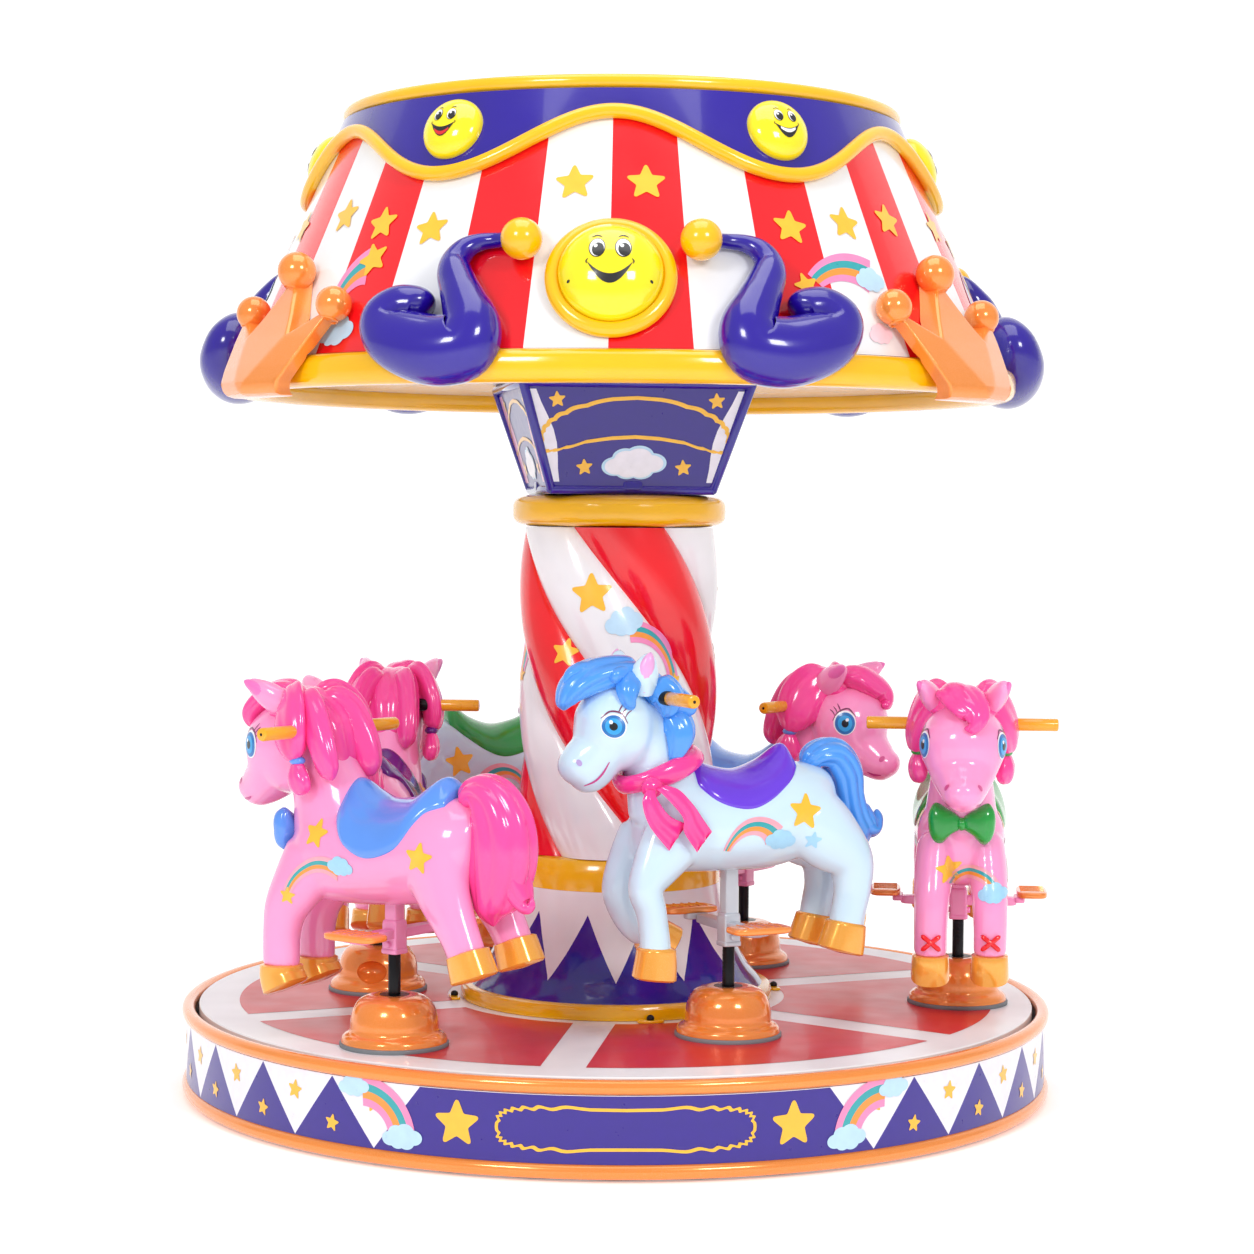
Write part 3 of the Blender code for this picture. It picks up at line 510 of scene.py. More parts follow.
def rainbow_uv(centre, r, start, end, width, thin=(1.0, 1.0)):
    """Bands of a rainbow about a centre, from one angle to another, as motifs. The middle
    radius runs from r[0] to r[1] and each band's width from thin[0] to thin[1] of the full one."""
    a = np.radians(np.linspace(start, end, 30))
    mid, wide = np.linspace(*r, 30), width * np.linspace(*thin, 30)
    bands = []
    for i, zone in enumerate((2, 4, 3, 2)):
        rr = mid + (i + np.linspace(0, 1, 4)[:, None] - 2) * wide
        uv = np.stack([centre[0] + rr * np.cos(a), centre[1] + rr * np.sin(a)], axis=-1)
        bands.append((uv, zone, False))
    return bands


def motif(uv, zone=0, angle=0.0, shift=(0, 0)):
    """A filled motif, turned and shifted on its flat sheet: points, ink and whether filled."""
    a = math.radians(angle)
    turned = np.stack([uv[..., 0] * math.cos(a) - uv[..., 1] * math.sin(a) + shift[0],
                       uv[..., 0] * math.sin(a) + uv[..., 1] * math.cos(a) + shift[1]], axis=-1)
    return turned, zone, True


def sheet(uv, place, zone=0, filled=True):
    """A motif laid on a surface by a function from (u, v) to points and outward directions."""
    pts, out = place(uv[..., 0], uv[..., 1])
    part = grid(pts, False, filled, zone)
    return facing(part, out.reshape(-1, 3))


def mark(place, uv, zone=0, angle=0.0, shift=(0, 0)):
    """One filled motif on a surface."""
    turned, zone, filled = motif(uv, zone, angle, shift)
    return sheet(turned, place, zone, filled)


def rainbow(place, *shape):
    """A rainbow on a surface, by the values that rainbow_uv takes."""
    return [sheet(uv, place, zone, filled) for uv, zone, filled in rainbow_uv(*shape)]


# Surfaces that carry motifs

def cone_r(z):
    """Radius of the canopy at a height."""
    return EAVE_R - (z - EAVE_Z) * SLOPE


def cone_out(az):
    """Outward direction of the canopy at an angle."""
    return around(az, math.cos(TILT), math.sin(TILT))


def on_canopy(az0, z0, lift=0.0012):
    """Canopy cone: u runs round it and v up its slope."""
    def place(u, v):
        z = z0 + v * math.cos(TILT)
        az = az0 + np.degrees(u / cone_r(z0))
        out = cone_out(az)
        return around(az, cone_r(z), z) + out * lift, out
    return place


def on_cylinder(az0, z0, r, lift=0.0010):
    """Upright cylinder: u runs round it and v up."""
    def place(u, v):
        az = az0 + np.degrees(u / r)
        return around(az, r + lift, z0 + v), around(az, 1.0, 0.0)
    return place


def column_turn(z):
    """How far the lobes have turned at a height, from the top down."""
    return (COL_HIGH - z) / (COL_HIGH - COL_LOW) * TWIST


def column_r(az, z):
    """Twisted column: six rounded lobes that turn as they go down."""
    wave = np.abs(np.cos(3 * np.radians(az - column_turn(z))))
    return 0.2335 + 0.0305 * wave ** 0.75


def on_column(az0, z0, lift=0.0015):
    """Twisted column: u runs round it, over the lobes, and v up."""
    def place(u, v):
        az = az0 + np.degrees(u / 0.262)
        z = z0 + v
        return around(az, column_r(az, z) + lift, z), around(az, 1.0, 0.0 * z)
    return place


def on_sign(k, lift):
    """One of the four leaning sides of the sign box: u runs across it and v up."""
    (z0, z1), (h0, h1) = span("sign_box"), SIGN_HALF
    slant = math.atan((h1 - h0) / (z1 - z0))
    m = np.array(Matrix.Rotation(math.radians(SIGN_TURN + 90 * k), 4, 'Z'))
    out = np.array([0, -math.cos(slant), -math.sin(slant)])

    def place(u, v):
        z = (z0 + z1) / 2 + v * math.cos(slant)
        h = h0 + (z - z0) / (z1 - z0) * (h1 - h0) - SIGN_INSET + lift
        p = np.stack([u, -h, z], axis=-1)
        return p @ m[:3, :3].T, np.broadcast_to(out, p.shape) @ m[:3, :3].T
    return place


def on_dome(frame_matrix, height, lift=0.0010):
    """A dome whose height over its base is a function of the distance from its middle."""
    m = np.array(frame_matrix)

    def place(u, v):
        rho = np.hypot(u, v)
        h = height(rho)
        lean = -(height(rho + 0.001) - h) / 0.001 / np.maximum(rho, 1e-6)
        n = unit(np.stack([lean * u, lean * v, np.ones_like(u)], axis=-1))
        p = np.stack([u, v, h], axis=-1) + n * lift
        return p @ m[:3, :3].T + m[:3, 3], n @ m[:3, :3].T
    return place


def cone_frame(az, z, lift=0.0):
    """Frame on the canopy: X along the ring, Y up the slope, Z outwards."""
    cols = Matrix(((1, 0, 0, 0), (0, math.sin(TILT), -math.cos(TILT), -cone_r(z)),
                   (0, math.cos(TILT), math.sin(TILT), z), (0, 0, 0, 1)))
    return Matrix.Rotation(math.radians(az), 4, 'Z') @ cols @ Matrix.Translation((0, 0, lift))


STAR, CLOUD, PINK_BAND, TEAL_BAND, ORANGE_BAND = "#FFC233", "#BFE3FA", "#F48FC0", "#2FA9B0", "#F79A3C"
PAPER = "#F3F1FA"


def motif_mats():
    """Inks of the stickers: star, cloud and the rainbow's three."""
    return [ink(c) for c in (STAR, CLOUD, PINK_BAND, TEAL_BAND, ORANGE_BAND)]


class CarouselSettings(bpy.types.PropertyGroup):
    """Sizes and colours that a user would change."""
    yellow: colour_prop("Yellow", "Gelcoat of the eave rim, trims and collar", "#FFC000")
    orange: colour_prop("Orange pearl", "Pearl paint of the rims and bells", "#F58A14")
    gold: colour_prop("Gold", "Paint of the hooves", "#F5A623")
    purple: colour_prop("Purple", "Gelcoat of the horns, fascia and column foot", "#240A96")
    red: colour_prop("Red", "Stripes and lobes", "#F5061A")
    floor_red: colour_prop("Floor red", "Wedges on the floor", "#D8142A")
    white: colour_prop("White", "Stripes, lobes and floor", "#F4F5F8")
    lamp: colour_prop("Lamp yellow", "Lamp covers", "#FFE81A")
    pink: colour_prop("Pink", "Pink horses", "#FF9CD0")
    pink_mane: colour_prop("Pink mane", "Mane and tail of the pink horses", "#FF4AA2")
    blue: colour_prop("Pale blue", "Pale blue horses", "#CFEAFB")
    blue_mane: colour_prop("Blue mane", "Mane and tail of the pale blue horses", "#4A9BF5")
    saddle_purple: colour_prop("Purple saddle", "Saddle of the front horse", "#6A35E0")
    saddle_blue: colour_prop("Blue saddle", "Blue saddles, ties and bows", "#5A97F5")
    saddle_green: colour_prop("Green saddle", "Green saddles and bow", "#0FA03A")
    saddle_plum: colour_prop("Plum saddle", "Dark purple saddle", "#5B1580")
    scarf: colour_prop("Scarf", "Scarf of the front horse", "#FF3B9B")
    magenta: colour_prop("Magenta", "Scarf of the rear horse", "#A3268C")
    grip: colour_prop("Grip", "Handlebar grips", "#F7AC14")
    rim_half: FloatProperty(name="Rim radius", description="Half thickness of the platform's rim tubes",
                            default=0.0175, min=0.01, max=0.03, unit='LENGTH')
    eave_half: FloatProperty(name="Eave radius", description="Half thickness of the canopy's eave rim",
                             default=0.040, min=0.02, max=0.06, unit='LENGTH')


def skirt_edge(az):
    """Height share of the purple print round the skirt: full on the front panel, and a
    zigzag of flags on the rest."""
    a = (az - SKIRT_TURN + 180) % 360 - 180
    side = (np.abs(a) - FRONT_HALF) / FLAG
    return np.where(np.abs(a) <= FRONT_HALF, 1.0, np.abs((side % 1.0) * 2 - 1))


def skirt_panel(r):
    """Skirt wall, split in purple and white along the edge of the print."""
    low, high = span("skirt_wall")
    az = np.concatenate([np.linspace(-FRONT_HALF, FRONT_HALF, 40, endpoint=False),
                         FRONT_HALF + np.linspace(0, FLAGS * FLAG, FLAGS * 12, endpoint=False)]) + SKIRT_TURN
    edge = low + 0.0015 + skirt_edge(az) * (high - low - 0.003)
    rows = [around(az, r, low), around(az, r, edge), around(az, r, high), around(az, r - 0.012, high),
            around(az, r - 0.012, low)]
    zones = np.array([0, 1, 1, 1, 1])[:, None]
    piece("skirt_panel", [grid(np.stack(rows), True, True, zones)], [ink("#2E148E"), ink(PAPER)], "platform",
          ["skirt_wall"], crease=60)


def skirt_print(r):
    """Stars, rainbows and clouds on the skirt, and the scalloped frame of its front panel."""
    front = on_cylinder(SKIRT_TURN, PRINT_Z, r)
    marks = [mark(front, star_uv(0.055), shift=(x, 0.0)) for x in (-0.395, 0.395)]
    for i in range(FLAGS):
        tip = SKIRT_TURN + FRONT_HALF + (i + 0.5) * FLAG
        marks.append(mark(on_cylinder(tip, 0.150, r), star_uv(0.024), angle=8 * (-1) ** i))
        if i < FLAGS - 1:
            marks.append(mark(on_cylinder(tip + FLAG / 2, 0.088, r), star_uv(0.021), angle=-10))
    for side in (-1, 1):
        arc, over = (on_cylinder(SKIRT_TURN + side * 32.2, PRINT_Z, r, lift) for lift in (0.0014, 0.0020))
        marks += rainbow(lambda u, v: arc(u * side, v), (0.0, -0.052), (0.105, 0.105), 88, 182, 0.0177)
        marks.append(mark(over, cloud_uv(0.052, 0.8), 1, shift=(side * -0.105, -0.046)))
        marks.append(mark(over, cloud_uv(0.044, 0.8), 1, shift=(side * 0.030, 0.060)))
    scallop = 0.003 * np.cos(30 * circle(240))
    band = scalloped_uv(scallop, (0.300, 0.052), (0.35, 0.5), (0, 0.0038, 0.0075))
    marks.append(sheet(band, on_cylinder(SKIRT_TURN, PRINT_Z, r, 0.0012)))
    piece("skirt_print", marks, motif_mats(), "platform", closed=False)


def turning_floor(colour):
    """White floor disc, and six red wedges with an even gap between them."""
    r, low, top = outer_r("floor_disc"), span("floor_disc")[0], FLOOR_TOP
    prof = [(0, top), (0.5, top), (1.0, top), (r - 0.003, top), (r, top - 0.003), (r, low), (0, low)]
    piece("floor_top", [spun(prof, 160)], [shell_paint("floor_white", colour, 0.34, coat=0.12)], "rotor",
          ["floor_disc"])
    rr = np.linspace(0.45, 1.0, 12)[:, None]
    gap = np.degrees(np.arcsin(0.0535 / rr))
    t = np.linspace(0, 1, 40)[None, :]
    wedges = []
    for k in range(6):
        lo, hi = -7 + 60 * k + gap, 53 + 60 * k - gap
        wedges.append(facing(grid(around(lo + (hi - lo) * t, rr, top + 0.0006)), (0, 0, 1)))
    piece("floor_wedges", wedges, [paint("floor_red", rough=0.30, mottle=0.08, coat=0.10)], "rotor",
          closed=False)


class CAROUSEL_OT_platform(bpy.types.Operator):
    """Skirt with its printed flags, rim tubes, and the floor with its red wedges"""
    bl_idname = "carousel.platform"
    bl_label = "Platform"

    def execute(self, context):
        s = context.scene.carousel
        mid = PLATFORM_R - s.rim_half
        for name in ("lower_rim", "upper_rim"):
            piece(name + "_tube", [ring_tube(mid, middle(name), s.rim_half)], [pearl()], "platform", [name])
        skirt_panel(mid + 0.006)
        skirt_print(mid + 0.006)
        turning_floor(s.white)
        repaint("base_frame", steel_paint("chassis_paint", linear("#8A8C92")))
        return {'FINISHED'}


def flare_r(z):
    """Radius of the flared column foot at a height, between six stations."""
    return np.interp(z, (FOOT_LOW, 0.284, 0.33, 0.39, 0.47, FOOT_HIGH), (0.390, 0.385, 0.345, 0.315, 0.288, 0.276))


def column_foot():
    """Flared foot: twelve purple points that rise into white, over a yellow ring."""
    az = np.linspace(0, 360, 360, endpoint=False)
    peak = np.abs(((az % 30) / 30) * 2 - 1)
    edge = 0.322 + (0.487 - 0.322) * (1 - peak)
    t = np.linspace(0, 1, 10)[:, None]
    lower = FOOT_LOW + (edge - FOOT_LOW) * t
    upper = edge + (FOOT_HIGH - edge) * t
    top = np.stack([around(az, 0.276, FOOT_HIGH), around(az, 0.0, FOOT_HIGH)])
    low = FLOOR_TOP + 0.0003
    ring = [(0.0, low), (0.413, low), (0.415, low + 0.002), (0.4155, 0.262), (0.411, 0.271), (0.402, FOOT_LOW),
            (0.390, FOOT_LOW)]
    parts = [grid(around(az, flare_r(lower), lower), False, True, 0),
             grid(around(az, flare_r(upper), upper), False, True, 1), grid(top, False, True, 1),
             spun(ring[::-1], 360, False, 2)]
    piece("column_foot_shell", parts, [paint("purple"), paint("white"), paint("yellow")], "rotor",
          ["column_foot"], crease=30)


def rope_column():
    """Six rounded lobes, white and red in turn, twisted round the column."""
    cols, rows = 180, 120
    az = np.linspace(0, 360, cols, endpoint=False)[None, :]
    z = np.linspace(COL_LOW + 0.0003, COL_HIGH - 0.0003, rows)[:, None]
    a = az + 30 + column_turn(z)
    pts = np.concatenate([around(a[:1], 0.0, z[0]), around(a, column_r(a, z), z), around(a[-1:], 0.0, z[-1])])
    lobe = (np.arange(cols) // 30 + 1) % 2
    piece("rope_column", [grid(pts, False, True, lobe[None, :])], [paint("red"), paint("white")], "rotor",
          ["twisted_column"], crease=30)


def column_stickers():
    """Stars, rainbows and clouds on the column, three times round."""
    marks = []
    for t in THIRDS:
        marks.append(mark(on_column(-15.4 + t, 1.315), star_uv(0.0546), angle=4))
        marks.append(mark(on_column(-33.4 + t, 1.162), star_uv(0.0377), angle=-8))
        marks += rainbow(on_column(9.0 + t, 1.103), (0.0, 0.0), (0.117, 0.112), 96, -4, 0.0144, (1.0, 0.7))
        marks.append(mark(on_column(3.7 + t, 1.242, 0.0025), cloud_uv(0.051), 1, 6))
        marks.append(mark(on_column(35.4 + t, 1.092, 0.0025), star_uv(0.020), angle=10))
    piece("column_stickers", marks, motif_mats(), "rotor", closed=False)


class CAROUSEL_OT_column(bpy.types.Operator):
    """Flared foot, band, twisted column and collar, with the stickers on the column"""
    bl_idname = "carousel.column"
    bl_label = "Column"

    def execute(self, context):
        column_foot()
        low, high = span("column_band")
        band = [(0, high), (0.250, high), (0.262, high - 0.004), (0.270, high - 0.018), (0.2745, high - 0.040),
                (0.276, low + 0.01), (0.276, low), (0, low)]
        piece("column_band_shell", [spun(band, 120)], [paint("yellow")], "rotor", ["column_band"])
        rope_column()
        low, high = span("column_collar")
        cr, cz = tube_section(1.0, 3.6, 40)
        mid_r, mid_z = outer_r("column_collar") - 0.10, (low + high) / 2
        section = np.stack([mid_r + cr * 0.10, mid_z + cz * (high - low) / 2], axis=1)
        piece("collar_ring", [spun(section, 140, True)], [paint("yellow")], "rotor", ["column_collar"])
        column_stickers()
        knobs = []
        for k in range(4):
            at = 11.6 + 90 * k, 0.437
            knobs.append(moved(slab((0, 0, 0), (0.034, 0.013, 0.004), zone=1), stand(*at, FLOOR_TOP + 0.004)))
            knobs.append(egg(around(*at, FLOOR_TOP + 0.012), (0.010, 0.010, 0.009)))
        piece("floor_catches", knobs, [steel_paint("black_knob", linear("#141416")), paint("yellow")], "rotor")
        return {'FINISHED'}


def sign_box():
    """Core of the box, a bar on each of its edges and a lock at the foot of each side."""
    (z0, z1), (h0, h1) = span("sign_box"), SIGN_HALF
    turn = Matrix.Rotation(math.radians(SIGN_TURN), 4, 'Z')
    corners = np.array([(-1, -1), (1, -1), (1, 1), (-1, 1)], float)
    rings = [np.concatenate([corners * (h - SIGN_INSET), np.full((4, 1), z)], axis=1)
             for h, z in ((h0, z0), (h1, z1))]
    rows = [rings[0] * (0, 0, 1), *rings, rings[1] * (0, 0, 1)]
    piece("sign_core", [moved(grid(np.stack(rows), False, True), turn)], [ink("#280E88")], "rotor", ["sign_box"],
          crease=20)
    low, high, bars = h0 - 0.013, h1 - 0.013, []
    for i in range(4):
        a, b = corners[i], corners[(i + 1) % 4]
        for p, q in (((*(a * low), z0 + 0.014), (*(a * high), z1 - 0.012)),
                     ((*(a * low), z0 + 0.013), (*(b * low), z0 + 0.013)),
                     ((*(a * high), z1 - 0.013), (*(b * high), z1 - 0.013))):
            bars.append(moved(bar_mesh(p, q, 0.0128, 20), turn))
        lock = Matrix.Translation((*((a + b) / 2 * (h0 - 0.009)), z0 + 0.022))
        spin = Matrix.Rotation(math.radians(90 * i), 4, 'Z')
        bars.append(moved(slab((0, 0, 0), (0.026, 0.011, 0.013)), turn @ lock @ spin))
    piece("sign_bars", bars, [paint("purple")], "rotor")


def sign_print():
    """Side strips, stars, a cloud and a scalloped frame on each side of the box."""
    (z0, z1), (h0, h1) = span("sign_box"), SIGN_HALF
    v, t = np.linspace(-0.122, 0.122, 8)[:, None], np.linspace(0.0, 1.0, 3)[None, :]
    width = (h0 + h1) / 2 + v * (h1 - h0) / (z1 - z0) - 0.020
    scallop = 0.0035 * np.abs(np.sin(11 * circle(480)))
    band = scalloped_uv(scallop, (0.246, 0.053), (0.32, 0.6), (0, 0.005, 0.010), 0.050, 0.062)
    marks = []
    for k in range(4):
        strip = 0.030 + 0.010 * np.cos(v * 24) + (0.045 if k % 2 else 0.0)
        for side in (-1, 1):
            marks.append(sheet(np.stack([side * (width - t * strip), v + 0 * t], axis=-1), on_sign(k, 0.0008),
                               5 + k % 2, False))
        place = on_sign(k, 0.0016)
        for x, y in ((-0.207, 0.095), (0.207, 0.095), (-0.129, -0.083), (0.129, -0.083)):
            marks.append(mark(place, star_uv(0.022), 0, 6, (x, y)))
        marks.append(mark(place, cloud_uv(0.083, 0.75), 1, shift=(0.0, -0.074)))
        marks.append(mark(on_sign(k, 0.0022), cloud_uv(0.075, 0.72), 5, shift=(0.0, -0.075)))
        marks.append(sheet(band, place))
    piece("sign_print", marks, motif_mats() + [ink(PAPER), ink("#F4A9C4")], "rotor", closed=False)


class CAROUSEL_OT_sign(bpy.types.Operator):
    """Tapered four-sided sign box between the collar and the canopy"""
    bl_idname = "carousel.sign"
    bl_label = "Sign box"

    def execute(self, context):
        sign_box()
        sign_print()
        return {'FINISHED'}


def trim_z(az):
    """Height of the wavy trim: six even crests, one of them at the front."""
    return TRIM_MEAN + TRIM_SWING * np.cos(np.radians(6 * (az - CANOPY_TURN)))


def canopy_shell():
    """Cone of red and white stripes, white inside and on top."""
    low, high = span("canopy_shell")
    cols = 12 * STRIPES
    az = (np.arange(cols) * 360 / cols + STRIPE_START)[None, :]
    z = np.linspace(low, high, 24)[:, None]
    inner = around(az, cone_r(z) - 0.014, z)[:-1]
    top = np.stack([around(az[0], cone_r(high) * k, high) for k in (0.98, 0.5, 0.0)])
    pts = np.concatenate([inner[::-1], around(az, cone_r(z), z), top])
    stripe = (np.arange(cols) // 12) % 2
    zones = np.broadcast_to(stripe[None, :], (len(pts) - 1, cols)).copy()
    zones[:len(inner)] = 1
    zones[-3:] = 1
    piece("canopy_stripes", [grid(pts, False, True, zones)], [paint("red"), paint("white")], "rotor",
          ["canopy_shell"], crease=50)


def fascia_and_trim():
    """Purple band above the stripes, and the wavy tube along its lower edge."""
    az = np.linspace(0, 360, 384, endpoint=False)[None, :]
    foot = trim_z(az) + 0.004
    z = foot + (SHELL_TOP - 0.0005 - foot) * np.linspace(0, 1, 14)[:, None]
    skin, back = (around(az, cone_r(z) + off / math.cos(TILT), z) for off in (0.0085, 0.0005))
    piece("fascia_band", [grid(np.concatenate([skin, back[::-1]]), True, True)], [paint("purple")], "rotor",
          ["fascia"], crease=60)
    az = np.linspace(0, 360, 480, endpoint=False)
    mid, out = trim_z(az), cone_out(az)
    centre = around(az, cone_r(mid), mid) + out * 0.0150
    along = unit(np.roll(centre, -1, axis=0) - np.roll(centre, 1, axis=0))
    side = np.cross(along, out)
    a, b = tube_section(0.0180, 2.0, 20)
    pts = centre[:, None] + out[:, None] * a[None, :, None] + side[:, None] * b[None, :, None]
    piece("wave_tube", [grid(pts, True, True)], [paint("yellow")], "rotor", ["wave_trim"])


def canopy_stickers():
    """Stars, rainbows and clouds on the stripes, three times round."""
    marks = []
    stars = ((-7.6, 2.300, 0.047, 4), (4.0, 2.301, 0.047, 0), (-30.9, 2.197, 0.046, 8), (-41.5, 2.219, 0.046, 6),
             (-52.3, 2.251, 0.046, 8), (27.2, 2.204, 0.046, -8), (38.3, 2.224, 0.046, -8),
             (49.4, 2.245, 0.046, -10), (-41.0, 2.130, 0.046, 24), (27.8, 2.062, 0.034, 16))
    for t in THIRDS:
        for az, z, r, angle in stars:
            marks.append(mark(on_canopy(az + t, z, 0.0022), star_uv(r), angle=angle))
        marks += rainbow(on_canopy(-44 + t, 2.060), (0.06, -0.04), (0.1005, 0.0925), 102, 196, 0.026, (1.0, 0.25))
        marks.append(mark(on_canopy(-43.8 + t, 1.953, 0.0022), cloud_uv(0.058), 1))
        marks += rainbow(on_canopy(35 + t, 2.030), (0.027, -0.065), (0.165, 0.149), 136, 66, 0.0245, (0.5, 1.0))
        marks.append(mark(on_canopy(40.1 + t, 2.085, 0.0022), cloud_uv(0.046), 1, -6))
        marks.append(mark(on_canopy(38.9 + t, 1.952, 0.0022), cloud_uv(0.038), 5, 4))
    piece("canopy_stickers", marks, motif_mats() + [ink("#FFDCE8")], "rotor", closed=False)


class CAROUSEL_OT_canopy(bpy.types.Operator):
    """Striped canopy shell, ceiling, rims, fascia and wavy trim"""
    bl_idname = "carousel.canopy"
    bl_label = "Canopy"

    def execute(self, context):
        canopy_shell()
        half = context.scene.carousel.eave_half
        piece("eave_tube", [ring_tube(outer_r("eave_rim") - half, middle("eave_rim"), half, 2.8)],
              [paint("yellow")], "rotor", ["eave_rim"])
        piece("top_tube", [ring_tube(outer_r("top_rim") - TOP_HALF, middle("top_rim"), TOP_HALF)],
              [paint("yellow")], "rotor", ["top_rim"])
        fascia_and_trim()
        canopy_stickers()
        repaint("ceiling", paint("white"))
        return {'FINISHED'}


def dome_height(rho):
    """Height of the big lamp over its ring's base."""
    return 0.022 + 0.080 * np.sqrt(np.maximum(1 - (rho / 0.1225) ** 2, 0.0))


def small_height(rho):
    """Height of a small lamp over its base."""
    return 0.049 * np.sqrt(np.maximum(1 - (rho / 0.0805) ** 2, 0.0))


def dome_profile(r, base, count, height):
    """Profile of a dome from its rim to its top, with stations that crowd at the rim."""
    rho = (r * np.sin(np.linspace(0, 1, count) ** 0.7 * np.pi / 2))[::-1]
    return [(r, base), *zip(rho, height(rho))]


def smile(place, scale, kind):
    """A simple smiling face: oval eyes with pupils, a brow over each and a crescent mouth."""
    parts = []

    def spot(a, b, x, y, lift, zone):
        parts.append(mark(place(lift), oval_uv(a * scale, b * scale), zone, shift=(x * scale, y * scale)))

    def line(points, width):
        parts.append(sheet(stroke_uv(np.array(points) * scale, width * scale), place(0.0012), 0, False))
    for side in (-1, 1):
        x = side * 0.030
        spot(0.0192, 0.0262, x, 0.026, 0.0010, 0)
        spot(0.0172, 0.0240, x, 0.026, 0.0014, 1)
        spot(0.0138, 0.0180, x + 0.0024, 0.0205, 0.0018, 0)
        spot(0.0044, 0.0050, x - 0.0030, 0.0300, 0.0022, 1)
        line([(x - side * 0.012, 0.056), (x, 0.0620), (x + side * 0.013, 0.0575)], 0.0036)
        line([(side * 0.0500, -0.0010), (side * 0.0545, -0.0070), (side * 0.0530, -0.0140)], 0.0030)
    t = np.linspace(-1, 1, 48)
    deep, fat = (0.033, 0.021) if kind == 0 else (0.022, 0.036)
    top = np.stack([t * 0.053, -0.008 - deep * (1 - t ** 2)], axis=-1) * scale
    low = top - np.stack([0 * t, fat * (1 - t ** 2)], axis=-1) * scale
    k = np.linspace(0, 1, 6)[:, None, None]
    parts.append(sheet(top[None] * (1 - k) + low[None] * k, place(0.0012), 0, False))
    if kind:
        inner = (0.50 if kind == 1 else 0.10) + 0.38 * k
        tongue = (top[None] * (1 - inner) + low[None] * inner)[:, 9:-9]
        parts.append(sheet(tongue, place(0.0018), 3 - kind, False))
    return parts


class CAROUSEL_OT_lamps(bpy.types.Operator):
    """Three big dome lamps and six small face lamps with their smiles"""
    bl_idname = "carousel.lamps"
    bl_label = "Lamps"

    def execute(self, context):
        cover = paint("lamp", rough=0.08, peel=0.01, mottle=0.03, sss=0.15)
        faces = [ink("#1B1A1E"), ink("#F8F8F8"), ink("#D8242C")]
        ring = [(0.0, -0.004), (0.150, -0.004), (0.1545, 0.000), (0.1545, 0.006), (0.151, 0.014), (0.143, 0.021),
                (0.134, 0.024), (0.126, 0.0225), (0.121, 0.016), (0.0, 0.014)]
        dome = dome_profile(0.1215, 0.0160, 26, dome_height) + [(0.0, 0.0160)]
        for i, t in enumerate(THIRDS):
            at, number = cone_frame(CANOPY_TURN + t, LAMP_Z, 0.008), "_%d" % (i + 1)
            piece("lamp_ring" + number, [moved(spun(ring, 96), at)], [paint("yellow")], "rotor")
            piece("lamp_dome" + number, [moved(spun(dome, 96), at)], [cover], "rotor", ["dome_lamp" + number])
            marks = smile(lambda lift: on_dome(at, dome_height, lift), 1.0, 0)
            for side in (-1, 1):
                marks.append(mark(on_dome(at, dome_height, 0.0012), oval_uv(0.0034, 0.0034),
                                  shift=(side * 0.095, -0.044)))
            piece("lamp_face" + number, marks, faces, "rotor", closed=False)
        small = [(0.0, -0.004)] + dome_profile(0.0800, -0.004, 18, small_height)
        domes, marks = [], []
        for i in range(6):
            at = cone_frame(CANOPY_TURN + 30 + 60 * i, FACE_LAMP_Z, 0.0085)
            domes.append(moved(spun(small, 64), at))
            marks += smile(lambda lift: on_dome(at, small_height, lift), 0.62, 2 - i % 2)
        piece("face_lamps", domes, [cover], "rotor")
        piece("face_lamp_smiles", marks, faces, "rotor", closed=False)
        return {'FINISHED'}


def crown_face(d, z):
    """Outer radius of a crown: a profile up the height, cut by three flat facets. The two
    folds between them run from the middle of the foot to the valleys between the prongs."""
    r = np.interp(z, (1.800, 1.806, 1.818, 1.836, 1.870, 1.950, 2.000, 2.070),
                  (1.106, 1.119, 1.1255, 1.1255, 1.106, 1.052, 1.022, 0.986))
    fold = 5.5 * np.clip((z - 1.805) / 0.145, 0, 1)
    rad = np.radians
    inner = 1 / np.cos(rad(d))
    outer = np.cos(rad(fold - 11)) / np.cos(rad(fold)) / np.cos(rad(np.abs(d) - 11))
    return r * np.where(np.abs(d) < fold, inner, outer)


